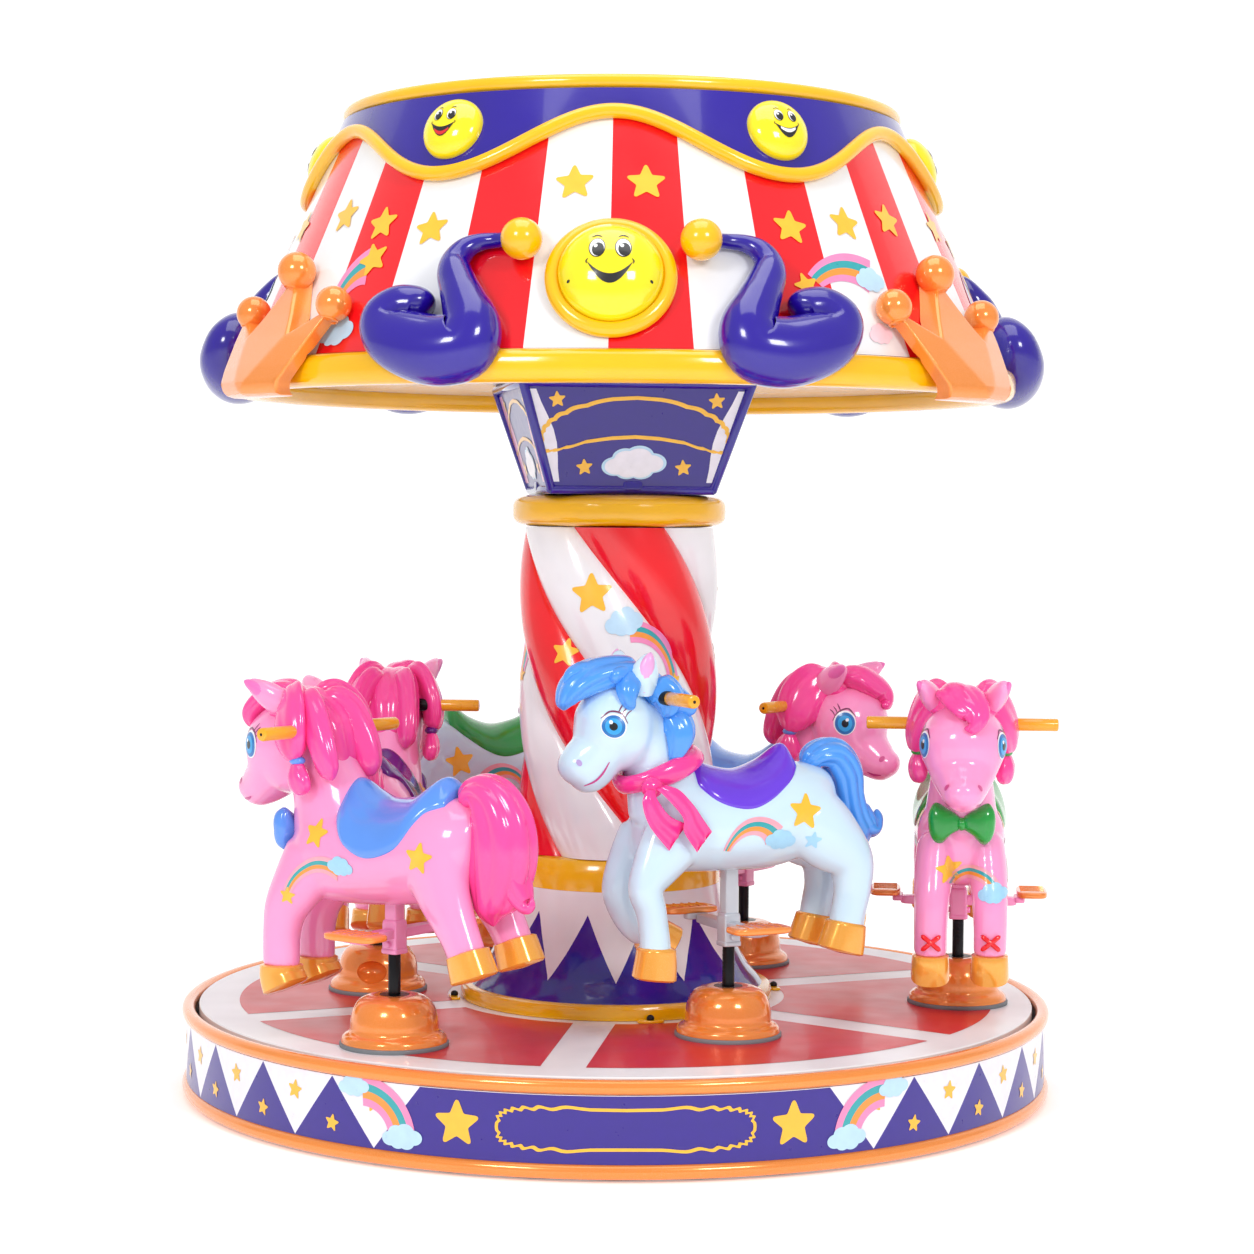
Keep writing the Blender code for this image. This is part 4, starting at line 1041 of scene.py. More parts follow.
class CAROUSEL_OT_crowns(bpy.types.Operator):
    """Three pearl crowns that grip the eave"""
    bl_idname = "carousel.crowns"
    bl_label = "Crowns"

    def execute(self, context):
        d = np.concatenate([np.linspace(-12.9, -10.6, 13), np.linspace(-10.4, 10.4, 70),
                            np.linspace(10.6, 12.9, 13)])
        low = np.interp(np.abs(d), (0, 6.4, 6.9, 7.3, 12.9), (1.800, 1.800, 1.803, 1.822, 2.022))
        top = np.interp(np.abs(d), (0, 0.75, 5.6, 11.4, 12.4, 12.9), (2.090, 2.086, 1.952, 2.005, 2.012, 2.026))
        z = low + (top - low) * (0.5 - 0.5 * np.cos(np.pi * np.linspace(0, 1, 40))[:, None])
        edge = np.minimum(np.minimum(z - low, top - z) / 0.009, (12.95 - np.abs(d)) / 0.5)
        ease = np.sqrt(1 - (1 - np.clip(edge, 0, 1)) ** 2)
        wall = np.where(z < 1.905, 1.0445, cone_r(z) + 0.0015)
        wall = wall + np.clip((np.abs(d) - 4) / 2, 0, 1) * np.maximum(0, crown_face(d, z) - 0.042 - wall)
        for i, az in enumerate((CANOPY_TURN + CROWN_AZ, 180, CANOPY_TURN - CROWN_AZ)):
            front = around(az + d, crown_face(d, z) - 0.009 * (1 - ease), z)
            ring = np.concatenate([front, around(az + d, wall, z)[::-1]])
            parts = [grid(capped(ring, 1), True, False)]
            for a, z0, r0, rr in ((0, 2.112, 0.967, 0.048), (-12.0, 2.019, 1.000, 0.044),
                                  (12.0, 2.019, 1.000, 0.044)):
                parts.append(egg(around(az + a, r0, z0), (rr, rr, rr)))
                foot = stand(az + a, r0 + 0.013, z0 - rr * 0.86) @ Matrix.Rotation(-TILT, 4, 'X')
                parts.append(moved(ring_tube(0.0185, 0.0, 0.0035, 2.0, 40, 10), foot))
            piece("crown_shell_%d" % (i + 1), parts, [pearl()], "rotor", ["crown_%d" % (i + 1)], crease=24)
        return {'FINISHED'}


HORN = ((14.2, 2.160, 0.932, 0.017), (17.0, 2.160, 0.915, 0.018), (19.7, 2.156, 0.919, 0.021),
        (21.6, 2.140, 0.934, 0.027), (22.5, 2.110, 0.954, 0.034), (22.0, 2.080, 0.976, 0.042),
        (20.6, 2.041, 1.000, 0.048), (19.3, 2.005, 1.020, 0.055), (17.9, 1.952, 1.040, 0.069),
        (18.7, 1.908, 1.050, 0.080), (21.9, 1.896, 1.055, 0.083), (25.6, 1.908, 1.056, 0.080),
        (28.8, 1.932, 1.054, 0.072), (30.2, 1.970, 1.044, 0.061), (28.6, 1.999, 1.026, 0.054),
        (26.2, 2.000, 1.018, 0.048), (24.8, 1.985, 1.022, 0.042))


class CAROUSEL_OT_horns(bpy.types.Operator):
    """Six curled purple horns with a ball at the tip"""
    bl_idname = "carousel.horns"
    bl_label = "Horns"

    def execute(self, context):
        s = spline(HORN, 110)
        cap = np.minimum(1, np.sqrt(1 - np.clip((np.linspace(0, 1, 110) - 0.93) / 0.07, 0, 1) ** 2))
        t = circle(40)[None, :, None]
        for i, (az, side) in enumerate((CANOPY_TURN + third, side) for third in THIRDS for side in (-1, 1)):
            p = around(az + side * s[:, 0], s[:, 2], s[:, 1])
            along = unit(np.gradient(p, axis=0))
            out = p * (1, 1, 0)
            out = unit(out - along * (out * along).sum(axis=1, keepdims=True))
            other = np.cross(along, out)
            r = (s[:, 3] * cap)[:, None, None]
            pts = p[:, None] + r * (out[:, None] * np.cos(t) + other[:, None] * np.sin(t))
            pts = np.concatenate([np.broadcast_to(p[:1, None], (1, 40, 3)), pts])
            piece("horn_shell_%d" % (i + 1), [grid(pts, False, True)], [paint("purple")], "rotor",
                  ["horn_%d" % (i + 1)])
            ball = egg(around(az + side * 12.7, 0.950, 2.159), (0.0495, 0.0495, 0.0495))
            piece("horn_ball_%d" % (i + 1), [ball], [paint("yellow")], "rotor", ["horn_%d" % (i + 1)])
        return {'FINISHED'}


HORSES = (
    ("front", INNER_R, 25.5, "trot", "saddle_purple", "scarf"),
    ("left", OUTER_R, -36.0, "gallop", "saddle_blue", "saddle_blue"),
    ("right", OUTER_R, 84.0, "gallop", "saddle_green", "saddle_green"),
    ("back_left", INNER_R, -94.5, "gallop", "saddle_plum", "saddle_plum"),
    ("back_right", INNER_R, 145.5, "gallop", "saddle_blue", "saddle_blue"),
    ("rear", OUTER_R, -156.0, "trot", "saddle_green", "magenta"),
)


def pair(rows, dx=0.0, dz=0.0):
    """A near limb and its far twin, mirrored across the middle and shifted."""
    return [rows, [(x + dx, -y, z + dz, *halves) for x, y, z, *halves in rows]]


# Both horses stand on z 0 and look along +X, with their post through the origin. A row of a
# limb is x, y, z, half width, half depth. Hair and tails add a groove depth and a strand count.

GALLOP = dict(
    torso=[(-0.290, 0, 0.505, 0.045, 0.050), (-0.255, 0, 0.505, 0.092, 0.098),
           (-0.180, 0, 0.492, 0.118, 0.128), (-0.090, 0, 0.470, 0.121, 0.120), (0.0, 0, 0.452, 0.118, 0.112),
           (0.100, 0, 0.455, 0.116, 0.122), (0.200, 0, 0.462, 0.110, 0.126), (0.248, 0, 0.468, 0.090, 0.112),
           (0.285, 0, 0.470, 0.052, 0.064)],
    neck=[(0.170, 0, 0.470, 0.100, 0.130), (0.195, 0, 0.570, 0.086, 0.115), (0.228, 0, 0.650, 0.076, 0.092),
          (0.265, 0, 0.720, 0.080, 0.090), (0.300, 0, 0.770, 0.070, 0.060)],
    head=[(0.264, 0, 0.800, 0.050, 0.050), (0.302, 0, 0.753, 0.095, 0.092), (0.336, 0, 0.717, 0.110, 0.105),
          (0.359, 0, 0.693, 0.106, 0.103), (0.392, 0, 0.641, 0.082, 0.072), (0.434, 0, 0.606, 0.060, 0.056),
          (0.459, 0, 0.592, 0.048, 0.044), (0.479, 0, 0.588, 0.026, 0.025)],
    eggs=[((0.330, 0, 0.690), (0.095, 0.100, 0.100)), ((0.445, 0, 0.600), (0.055, 0.052, 0.045))],
    legs=pair([(0.200, 0.062, 0.460, 0.048, 0.085), (0.245, 0.068, 0.385, 0.050, 0.074),
               (0.285, 0.073, 0.319, 0.046, 0.060), (0.299, 0.075, 0.254, 0.043, 0.050),
               (0.300, 0.075, 0.175, 0.042, 0.049)], 0.020) + [
          [(-0.170, 0.062, 0.480, 0.058, 0.098), (-0.205, 0.068, 0.400, 0.052, 0.075),
           (-0.235, 0.072, 0.345, 0.048, 0.060), (-0.265, 0.074, 0.295, 0.044, 0.050),
           (-0.290, 0.075, 0.245, 0.043, 0.047)],
          [(-0.175, -0.062, 0.490, 0.058, 0.098), (-0.227, -0.068, 0.415, 0.052, 0.075),
           (-0.257, -0.072, 0.360, 0.048, 0.060), (-0.287, -0.074, 0.310, 0.044, 0.050),
           (-0.312, -0.075, 0.260, 0.043, 0.047)]],
    hooves=pair([(0.300, 0.075, 0.180, 0.046, 0.050), (0.298, 0.075, 0.150, 0.048, 0.054),
                 (0.283, 0.075, 0.116, 0.050, 0.058)], 0.020)
    + pair([(-0.286, 0.075, 0.266, 0.045, 0.050), (-0.2975, 0.075, 0.235, 0.047, 0.054),
            (-0.312, 0.075, 0.196, 0.049, 0.058)], -0.022, 0.015),
    ear=[(0.285, 0.056, 0.800, 0.024, 0.026), (0.315, 0.074, 0.822, 0.028, 0.036),
         (0.345, 0.088, 0.842, 0.025, 0.032), (0.372, 0.098, 0.859, 0.016, 0.020),
         (0.388, 0.104, 0.868, 0.007, 0.009)],
    hair=[([(0.365, 0, 0.798, 0.075, 0.042), (0.315, 0, 0.805, 0.088, 0.050), (0.262, 0, 0.797, 0.088, 0.054),
            (0.218, 0, 0.762, 0.078, 0.055), (0.194, 0, 0.710, 0.066, 0.048), (0.186, 0, 0.662, 0.056, 0.042),
            (0.180, 0, 0.625, 0.034, 0.026)], 0.11, 9),
          ([(0.330, -0.030, 0.838, 0.046, 0.030), (0.380, -0.012, 0.836, 0.052, 0.034),
            (0.414, 0.012, 0.816, 0.048, 0.030), (0.437, 0.030, 0.790, 0.034, 0.024),
            (0.448, 0.022, 0.764, 0.018, 0.015), (0.448, 0.0, 0.760, 0.006, 0.006)],
           0.12, 5)],
    locks=[([(0.300, 0.030, 0.845, 0.030, 0.050), (0.262, 0.085, 0.800, 0.030, 0.068),
             (0.238, 0.110, 0.745, 0.030, 0.062), (0.224, 0.114, 0.705, 0.026, 0.040),
             (0.216, 0.111, 0.684, 0.015, 0.016)], 0.11, 7),
           ([(0.217, 0.110, 0.684, 0.012, 0.012), (0.212, 0.112, 0.650, 0.022, 0.033),
             (0.207, 0.110, 0.622, 0.022, 0.036), (0.205, 0.105, 0.600, 0.012, 0.018)], 0.11, 6),
           ([(0.262, 0.035, 0.836, 0.034, 0.042), (0.205, 0.070, 0.792, 0.032, 0.054),
             (0.162, 0.088, 0.735, 0.030, 0.046), (0.137, 0.092, 0.678, 0.026, 0.038),
             (0.120, 0.090, 0.640, 0.012, 0.020)], 0.11, 6)],
    ties=[(0.216, 0.111, 0.684, 0.021, 0.019, 0.012)],
    tail=[([(-0.215, 0, 0.590, 0.028, 0.030), (-0.255, 0, 0.622, 0.044, 0.046),
            (-0.298, 0, 0.608, 0.060, 0.066), (-0.325, 0, 0.555, 0.068, 0.084),
            (-0.330, 0, 0.485, 0.070, 0.088), (-0.318, 0, 0.412, 0.060, 0.076),
            (-0.302, 0, 0.355, 0.042, 0.046), (-0.304, 0, 0.315, 0.012, 0.014)], 0.11, 9),
          ([(-0.350, 0, 0.470, 0.048, 0.048), (-0.375, 0, 0.415, 0.040, 0.036),
            (-0.397, 0, 0.376, 0.026, 0.023), (-0.415, 0, 0.374, 0.012, 0.012),
            (-0.419, 0, 0.396, 0.004, 0.004)], 0.11, 5)],
    saddle=dict(x=(-0.203, 0.140), top=((-0.203, 0.632), (-0.160, 0.648), (-0.090, 0.602), (0.0, 0.588),
                                        (0.060, 0.606), (0.105, 0.632), (0.140, 0.622)),
                low=((-0.203, 0.610), (-0.165, 0.590), (-0.145, 0.562), (-0.098, 0.492), (-0.010, 0.462),
                     (0.063, 0.487), (0.105, 0.535), (0.140, 0.592))),
    bow=(0.300, 0.0, 0.508), bar=(0.210, 0.755), belly=0.345, eye=(0.383, 0.714), nostril=(0.470, 0.615),
    smile=[(0.428, 0.578), (0.446, 0.571), (0.464, 0.570)],
    marks=((0, 0.161, 0.510, 0.036), (0, -0.173, 0.477, 0.038), (0, 0.243, 0.354, 0.022)),
    arch=((0.120, 0.330), (0.127, 0.100), 15, 112, 0.0120, (0.5, 1.0)), cloud=(0.073, 0.437, 0.040),
    skin="pink", mane="pink_mane", worn="_bow", ear_ink="#F272BE", nostril_ink="#D84F93", eye_stretch=1.15,
    lock_sides=((1, -1), (1, -1), (1, -0.6)), board_x=-0.045,
)

TROT = dict(
    torso=[(-0.280, 0, 0.580, 0.045, 0.050), (-0.245, 0, 0.578, 0.088, 0.090),
           (-0.175, 0, 0.560, 0.112, 0.122), (-0.085, 0, 0.535, 0.117, 0.124),
           (0.010, 0, 0.522, 0.114, 0.112), (0.105, 0, 0.528, 0.112, 0.116), (0.175, 0, 0.535, 0.106, 0.120),
           (0.222, 0, 0.540, 0.088, 0.104), (0.256, 0, 0.545, 0.050, 0.060)],
    neck=[(0.160, 0, 0.550, 0.090, 0.115), (0.192, 0, 0.640, 0.078, 0.088), (0.215, 0, 0.700, 0.068, 0.080),
          (0.250, 0, 0.760, 0.070, 0.080), (0.290, 0, 0.820, 0.070, 0.070)],
    head=[(0.257, 0, 0.858, 0.050, 0.055), (0.290, 0, 0.820, 0.088, 0.090), (0.327, 0, 0.772, 0.100, 0.094),
          (0.343, 0, 0.745, 0.096, 0.078), (0.359, 0, 0.714, 0.080, 0.068), (0.392, 0, 0.680, 0.060, 0.069),
          (0.415, 0, 0.663, 0.052, 0.056), (0.438, 0, 0.650, 0.032, 0.032)],
    eggs=[((0.313, 0, 0.768), (0.096, 0.097, 0.104)), ((0.408, 0, 0.683), (0.055, 0.055, 0.050))],
    legs=[[(0.180, 0.062, 0.510, 0.048, 0.085), (0.235, 0.068, 0.440, 0.048, 0.062),
           (0.266, 0.073, 0.385, 0.042, 0.043), (0.252, 0.075, 0.335, 0.040, 0.038),
           (0.243, 0.075, 0.280, 0.039, 0.037), (0.2375, 0.075, 0.225, 0.039, 0.039)],
          [(0.185, -0.062, 0.510, 0.048, 0.085), (0.235, -0.070, 0.430, 0.046, 0.064),
           (0.262, -0.074, 0.370, 0.042, 0.048), (0.248, -0.075, 0.325, 0.040, 0.046),
           (0.222, -0.075, 0.285, 0.039, 0.045), (0.190, -0.075, 0.259, 0.040, 0.044)],
          ] + pair([(-0.165, 0.062, 0.560, 0.056, 0.090), (-0.235, 0.068, 0.495, 0.055, 0.088),
                    (-0.300, 0.072, 0.430, 0.046, 0.064), (-0.308, 0.074, 0.360, 0.041, 0.050),
                    (-0.296, 0.075, 0.300, 0.040, 0.046), (-0.289, 0.075, 0.260, 0.040, 0.046)]),
    hooves=[[(0.236, 0.075, 0.248, 0.043, 0.045), (0.238, 0.075, 0.205, 0.045, 0.050),
             (0.243, 0.075, 0.160, 0.047, 0.054)],
            [(0.192, -0.075, 0.260, 0.044, 0.048), (0.158, -0.075, 0.236, 0.046, 0.054),
             (0.126, -0.075, 0.214, 0.047, 0.058)]]
    + pair([(-0.291, 0.075, 0.280, 0.044, 0.048), (-0.283, 0.075, 0.240, 0.046, 0.055),
            (-0.272, 0.075, 0.198, 0.047, 0.060)]),
    ear=[(0.270, 0.060, 0.850, 0.022, 0.022), (0.271, 0.068, 0.880, 0.026, 0.031),
         (0.272, 0.074, 0.908, 0.026, 0.034), (0.267, 0.080, 0.934, 0.018, 0.023),
         (0.262, 0.083, 0.954, 0.007, 0.010)],
    hair=[([(0.330, 0, 0.880, 0.070, 0.034), (0.265, 0, 0.888, 0.080, 0.038), (0.218, 0, 0.852, 0.076, 0.042),
            (0.192, 0, 0.795, 0.066, 0.040), (0.184, 0, 0.738, 0.054, 0.034),
            (0.194, 0, 0.694, 0.024, 0.018)], 0.11, 9),
          ([(0.262, 0, 0.905, 0.070, 0.035), (0.320, 0, 0.905, 0.075, 0.042), (0.380, 0, 0.893, 0.070, 0.044),
            (0.425, 0, 0.868, 0.055, 0.035), (0.448, 0, 0.838, 0.034, 0.022),
            (0.452, 0, 0.815, 0.012, 0.010)], 0.12, 7),
          ([(0.360, 0.010, 0.908, 0.030, 0.022), (0.400, 0.010, 0.915, 0.026, 0.020),
            (0.436, 0.010, 0.905, 0.018, 0.014), (0.457, 0.010, 0.882, 0.005, 0.005)], 0.10, 4)],
    locks=[([(0.296, 0.050, 0.895, 0.030, 0.028), (0.318, 0.078, 0.870, 0.026, 0.030),
             (0.322, 0.090, 0.842, 0.018, 0.020), (0.311, 0.094, 0.820, 0.006, 0.008)], 0.12, 5),
           ([(0.320, 0.050, 0.905, 0.028, 0.024), (0.344, 0.068, 0.900, 0.020, 0.020),
             (0.350, 0.074, 0.882, 0.006, 0.008)],
            0.10, 4),
           ([(0.235, 0.050, 0.885, 0.032, 0.036), (0.212, 0.076, 0.850, 0.028, 0.040),
             (0.212, 0.082, 0.822, 0.018, 0.026), (0.221, 0.080, 0.800, 0.006, 0.008)], 0.12, 6),
           ([(0.190, 0.046, 0.850, 0.030, 0.034), (0.160, 0.070, 0.820, 0.024, 0.030),
             (0.154, 0.074, 0.797, 0.006, 0.008)],
            0.12, 5),
           ([(0.186, 0.046, 0.810, 0.030, 0.036), (0.176, 0.072, 0.765, 0.026, 0.038),
             (0.184, 0.076, 0.722, 0.018, 0.026), (0.200, 0.072, 0.688, 0.006, 0.008)], 0.12, 6)],
    ties=[],
    tail=[([(-0.205, 0, 0.660, 0.028, 0.026), (-0.245, 0, 0.690, 0.042, 0.034),
            (-0.292, 0, 0.687, 0.050, 0.042), (-0.325, 0, 0.642, 0.052, 0.044),
            (-0.334, 0, 0.585, 0.050, 0.040), (-0.346, 0, 0.530, 0.050, 0.046),
            (-0.366, 0, 0.490, 0.044, 0.048), (-0.386, 0, 0.450, 0.018, 0.018)], 0.12, 8),
          ([(-0.352, 0, 0.560, 0.040, 0.032), (-0.378, 0, 0.515, 0.042, 0.036),
            (-0.405, 0, 0.500, 0.034, 0.026), (-0.420, 0, 0.518, 0.020, 0.017),
            (-0.421, 0, 0.545, 0.008, 0.008)], 0.12, 5)],
    saddle=dict(x=(-0.158, 0.136), top=((-0.158, 0.696), (-0.138, 0.711), (-0.080, 0.672), (-0.010, 0.650),
                                        (0.060, 0.661), (0.110, 0.681), (0.136, 0.680)),
                low=((-0.158, 0.676), (-0.117, 0.633), (-0.048, 0.586), (0.008, 0.574), (0.078, 0.596),
                     (0.123, 0.642), (0.136, 0.668))),
    bar=(0.225, 0.846), belly=0.415, eye=(0.359, 0.782), nostril=(0.431, 0.693),
    smile=[(0.363, 0.695), (0.374, 0.668), (0.389, 0.650), (0.413, 0.637)],
    marks=((0, -0.149, 0.5595, 0.045), (1, -0.1725, 0.488, 0.022)),
    arch=((-0.020, 0.460), (0.0815, 0.062), 8, 135, 0.0155, (0.3, 1.0)), cloud=(-0.083, 0.4925, 0.043),
    skin="blue", mane="blue_mane", worn="_scarf", ear_ink="#E9A9E0", nostril_ink="#B79FD8", eye_stretch=1.0,
    lock_sides=((1, -1),) * 5, board_x=0.020,
)

SHAPES = dict(gallop=GALLOP, trot=TROT)


def solid_of(parts):
    """One smooth skin over overlapping limbs: a voxel remesh and a few rounds of smoothing."""
    obj = linked("skin_work", mesh_of("skin_work", parts))
    fuse = obj.modifiers.new("fuse", 'REMESH')
    fuse.mode = 'VOXEL'
    fuse.voxel_size = 0.0065
    ease = obj.modifiers.new("ease", 'SMOOTH')
    ease.factor = 0.5
    ease.iterations = 9
    return baked(obj)


def arrays(mesh):
    """Points and quads of a mesh of quads."""
    v = np.empty(len(mesh.vertices) * 3)
    mesh.vertices.foreach_get("co", v)
    starts, totals = np.empty(len(mesh.polygons), int), np.empty(len(mesh.polygons), int)
    loops = np.empty(len(mesh.loops), int)
    mesh.polygons.foreach_get("loop_start", starts)
    mesh.polygons.foreach_get("loop_total", totals)
    mesh.loops.foreach_get("vertex_index", loops)
    q = loops[starts[:, None] + np.minimum(np.arange(4)[None, :], totals[:, None] - 1)]
    return v.reshape(-1, 3), q, np.zeros(len(q), int)


def wrapped(motifs, skin, axis, sign, lift):
    """Motifs in the horse's side or front plane, shrink-wrapped to its skin. What misses
    the skin stays at its starting distance and is left out."""
    start = []
    for uv, zone, filled in motifs:
        if axis == 'Y':
            pts = np.stack([uv[..., 0], np.full(uv.shape[:-1], 0.30 * sign), uv[..., 1]], axis=-1)
        else:
            pts = np.stack([np.full(uv.shape[:-1], 0.75), uv[..., 0], uv[..., 1]], axis=-1)
        away = (0, sign, 0) if axis == 'Y' else (1, 0, 0)
        start.append(facing(grid(pts, False, filled, zone), away))
    obj = linked("wrap_work", mesh_of("wrap_work", start, closed=False))
    target = linked("wrap_target", skin)
    mod = obj.modifiers.new("wrap", 'SHRINKWRAP')
    mod.target = target
    mod.wrap_method = 'PROJECT'
    mod.wrap_mode = 'ABOVE_SURFACE'
    mod.use_project_x = axis == 'X'
    mod.use_project_y = axis == 'Y'
    mod.use_project_z = False
    mod.use_negative_direction = sign > 0
    mod.use_positive_direction = sign < 0
    mod.offset = lift
    mesh = baked(obj)
    bpy.data.objects.remove(target, do_unlink=True)
    v, q, zones = arrays(mesh)
    mesh.polygons.foreach_get("material_index", zones)
    missed = np.abs(v[:, 1]) > 0.29 if axis == 'Y' else v[:, 0] > 0.74
    keep = ~missed[q].any(axis=1)
    used, q = np.unique(q[keep], return_inverse=True)
    return v[used], q.reshape(-1, 4), zones[keep]


def saddle_part(shape, torso_rows):
    """A saddle over the back: across it the angle runs from flap to flap, along it the
    top and flap heights follow two curves, and its edge dives into the skin."""
    x0, x1 = shape["x"]
    s = np.linspace(0, 1, 44)
    x = x0 + (x1 - x0) * (0.5 - 0.5 * np.cos(np.pi * s))
    rows = spline(torso_rows, 200)
    zc, w, d = (np.interp(x, rows[:, 0], rows[:, k]) for k in (2, 3, 4))
    top, low = (np.interp(x, *spline(shape[key], 120).T) for key in ("top", "low"))
    a_low = np.arccos(np.clip((low - zc) / (d + 0.012), -1, 1))
    t = np.linspace(-1, 1, 61)[None, :]
    a = t * a_low[:, None]
    ends = np.sqrt(np.clip(1 - (2 * s[:, None] - 1) ** 6, 0, 1))
    rise = 0.016 * np.sqrt(np.clip(1 - t ** 6, 0, 1)) * ends - 0.004
    extra = (top - zc - d)[:, None] * np.cos(a * 0.5 * np.pi / np.maximum(a_low[:, None], 0.3)) ** 2 * ends
    x, zc, w, d = (value[:, None] for value in (x, zc, w, d))
    z = zc + np.cos(a) * (d + rise) + np.maximum(extra, -0.01)
    outer = np.stack([x + 0 * a, np.sin(a) * (w + rise), z], axis=-1)
    inner = np.stack([x + 0 * a, np.sin(a) * (w - 0.014), zc + np.cos(a) * (d - 0.014)], axis=-1)
    return grid(capped(np.concatenate([outer, inner[:, ::-1]], axis=1)), False, True)


def bow_parts(x, y, z):
    """A bow tie: two puffed loops and a knot."""
    parts = []
    for s in (1, -1):
        rows = [(x, y + s * 0.004, z, 0.016, 0.016), (x + 0.008, y + s * 0.030, z + 0.002, 0.024, 0.034),
                (x + 0.006, y + s * 0.060, z, 0.028, 0.053), (x - 0.004, y + s * 0.084, z - 0.002, 0.016, 0.040)]
        parts.append(limb(rows, 26, 28, (0.05, 0.25), side=(1, 0, 0), ridge=0.08, strands=5))
    parts.append(egg((x + 0.012, y, z), (0.016, 0.014, 0.017)))
    return parts


def strap(left, right, y):
    """A flat cloth end between two edge curves in the side plane: the height of its outer
    face follows two folds across, and its rim turns in over the thickness."""
    a, b = spline(left, 40), spline(right, 40)
    k, along = np.linspace(0, 1, 21)[None, :], np.linspace(0, 1, 40)[:, None]
    flat = a[:, None] * (1 - k[..., None]) + b[:, None] * k[..., None]
    puff = np.sqrt(np.clip(np.sin(np.pi * k), 0, 1)) * np.sqrt(np.clip((1 - along) / 0.04, 0, 1))
    lie = y + 0.010 * np.sin(np.pi * along) + 0.0035 * np.cos(4 * np.pi * k) * along
    front, back = (np.stack([flat[..., 0], lie + thick * puff, flat[..., 1]], axis=-1)
                   for thick in (0.006, -0.006))
    return grid(capped(np.concatenate([front, back[:, ::-1]], axis=1)), False, True)


def scarf_parts():
    """A scarf: a padded ring round the neck, a knot and two flat tails."""
    a, t = circle(72), circle(20)
    centre = np.stack([0.200 + 0.092 * np.cos(a), 0.084 * np.sin(a), 0.668 - 0.036 * np.cos(a)], axis=1)
    out = np.stack([np.cos(a), np.sin(a), 0 * a], axis=1)
    up = np.broadcast_to(np.array([0.36, 0.0, 0.93]), out.shape)
    fold = 1 + 0.10 * np.sin(3 * a)[:, None] * np.cos(2 * t)[None, :]
    pts = centre[:, None] + out[:, None] * (0.020 * np.cos(t) * fold)[..., None] + up[:, None] * (
        0.026 * np.sin(t) * fold)[..., None]
    return [grid(pts, True, True), egg((0.258, 0.090, 0.632), (0.028, 0.022, 0.026)),
            strap([(0.285, 0.630), (0.300, 0.598), (0.282, 0.545), (0.225, 0.481)],
                  [(0.262, 0.628), (0.260, 0.606), (0.228, 0.566), (0.177, 0.543)], 0.114),
            strap([(0.262, 0.630), (0.242, 0.612), (0.198, 0.563), (0.192, 0.526), (0.154, 0.475)],
                  [(0.236, 0.640), (0.204, 0.627), (0.168, 0.590), (0.142, 0.556), (0.114, 0.523)], 0.122)]


def face_parts(shape, skin, sign):
    """Eye with lashes, nostril and smile of one side, each layer lifted over the last."""
    (ex, ez), tall = shape["eye"], shape["eye_stretch"]
    lid = [(ex - 0.031, ez + 0.006), (ex - 0.018, ez + 0.029), (ex + 0.006, ez + 0.034 * tall),
           (ex + 0.027, ez + 0.018)]
    low = [motif(oval_uv(0.0285, 0.0297 * tall), 0, 0, (ex, ez)), (stroke_uv(lid, 0.0042), 3, False),
           motif(oval_uv(0.0060, 0.0080), 4, -20, shape["nostril"]), (stroke_uv(shape["smile"], 0.0062), 5, False)]
    for k in range(3):
        lash = [(ex - 0.026 + 0.008 * k, ez + 0.020 + 0.005 * k), (ex - 0.034 + 0.008 * k, ez + 0.030 + 0.006 * k),
                (ex - 0.044 + 0.009 * k, ez + 0.036 + 0.008 * k)]
        low.append((stroke_uv(lash, 0.0030), 3, False))
    parts = [wrapped(low, skin, 'Y', sign, 0.0010)]
    for rx, rz, dx, dz, zone, lift in ((0.0252, 0.0262 * tall, 0.001, -0.001, 1, 0.0016),
                                       (0.0180, 0.0190 * tall, 0.002, -0.001, 2, 0.0021),
                                       (0.0088, 0.0092 * tall, 0.003, -0.001, 6, 0.0026),
                                       (0.0040, 0.0045, 0.008, 0.009, 0, 0.0031)):
        parts.append(wrapped([motif(oval_uv(rx, rz), zone, 0, (ex + dx, ez + dz))], skin, 'Y', sign, lift))
    return parts


def side_stickers(shape, skin, sign):
    """Stars, a rainbow and a cloud on one flank."""
    low = [motif(star_uv(r), zone, 8, (x, z)) for zone, x, z, r in shape["marks"]]
    low += rainbow_uv(*shape["arch"])
    x, z, size = shape["cloud"]
    cloud = [motif(cloud_uv(size, 0.8), 1, 0, (x, z))]
    return [wrapped(low, skin, 'Y', sign, 0.0010), wrapped(cloud, skin, 'Y', sign, 0.0018)]


def chest_stickers(skin):
    """A star, a rainbow and a cloud on the chest."""
    low = [motif(star_uv(0.035), 0, 8, (-0.030, 0.392))]
    low += rainbow_uv((0.028, 0.325), (0.060, 0.060), 150, 15, 0.0085)
    cloud = [motif(cloud_uv(0.036), 1, 0, (0.080, 0.335))]
    return [wrapped(low, skin, 'X', 1, 0.0010), wrapped(cloud, skin, 'X', 1, 0.0018)]


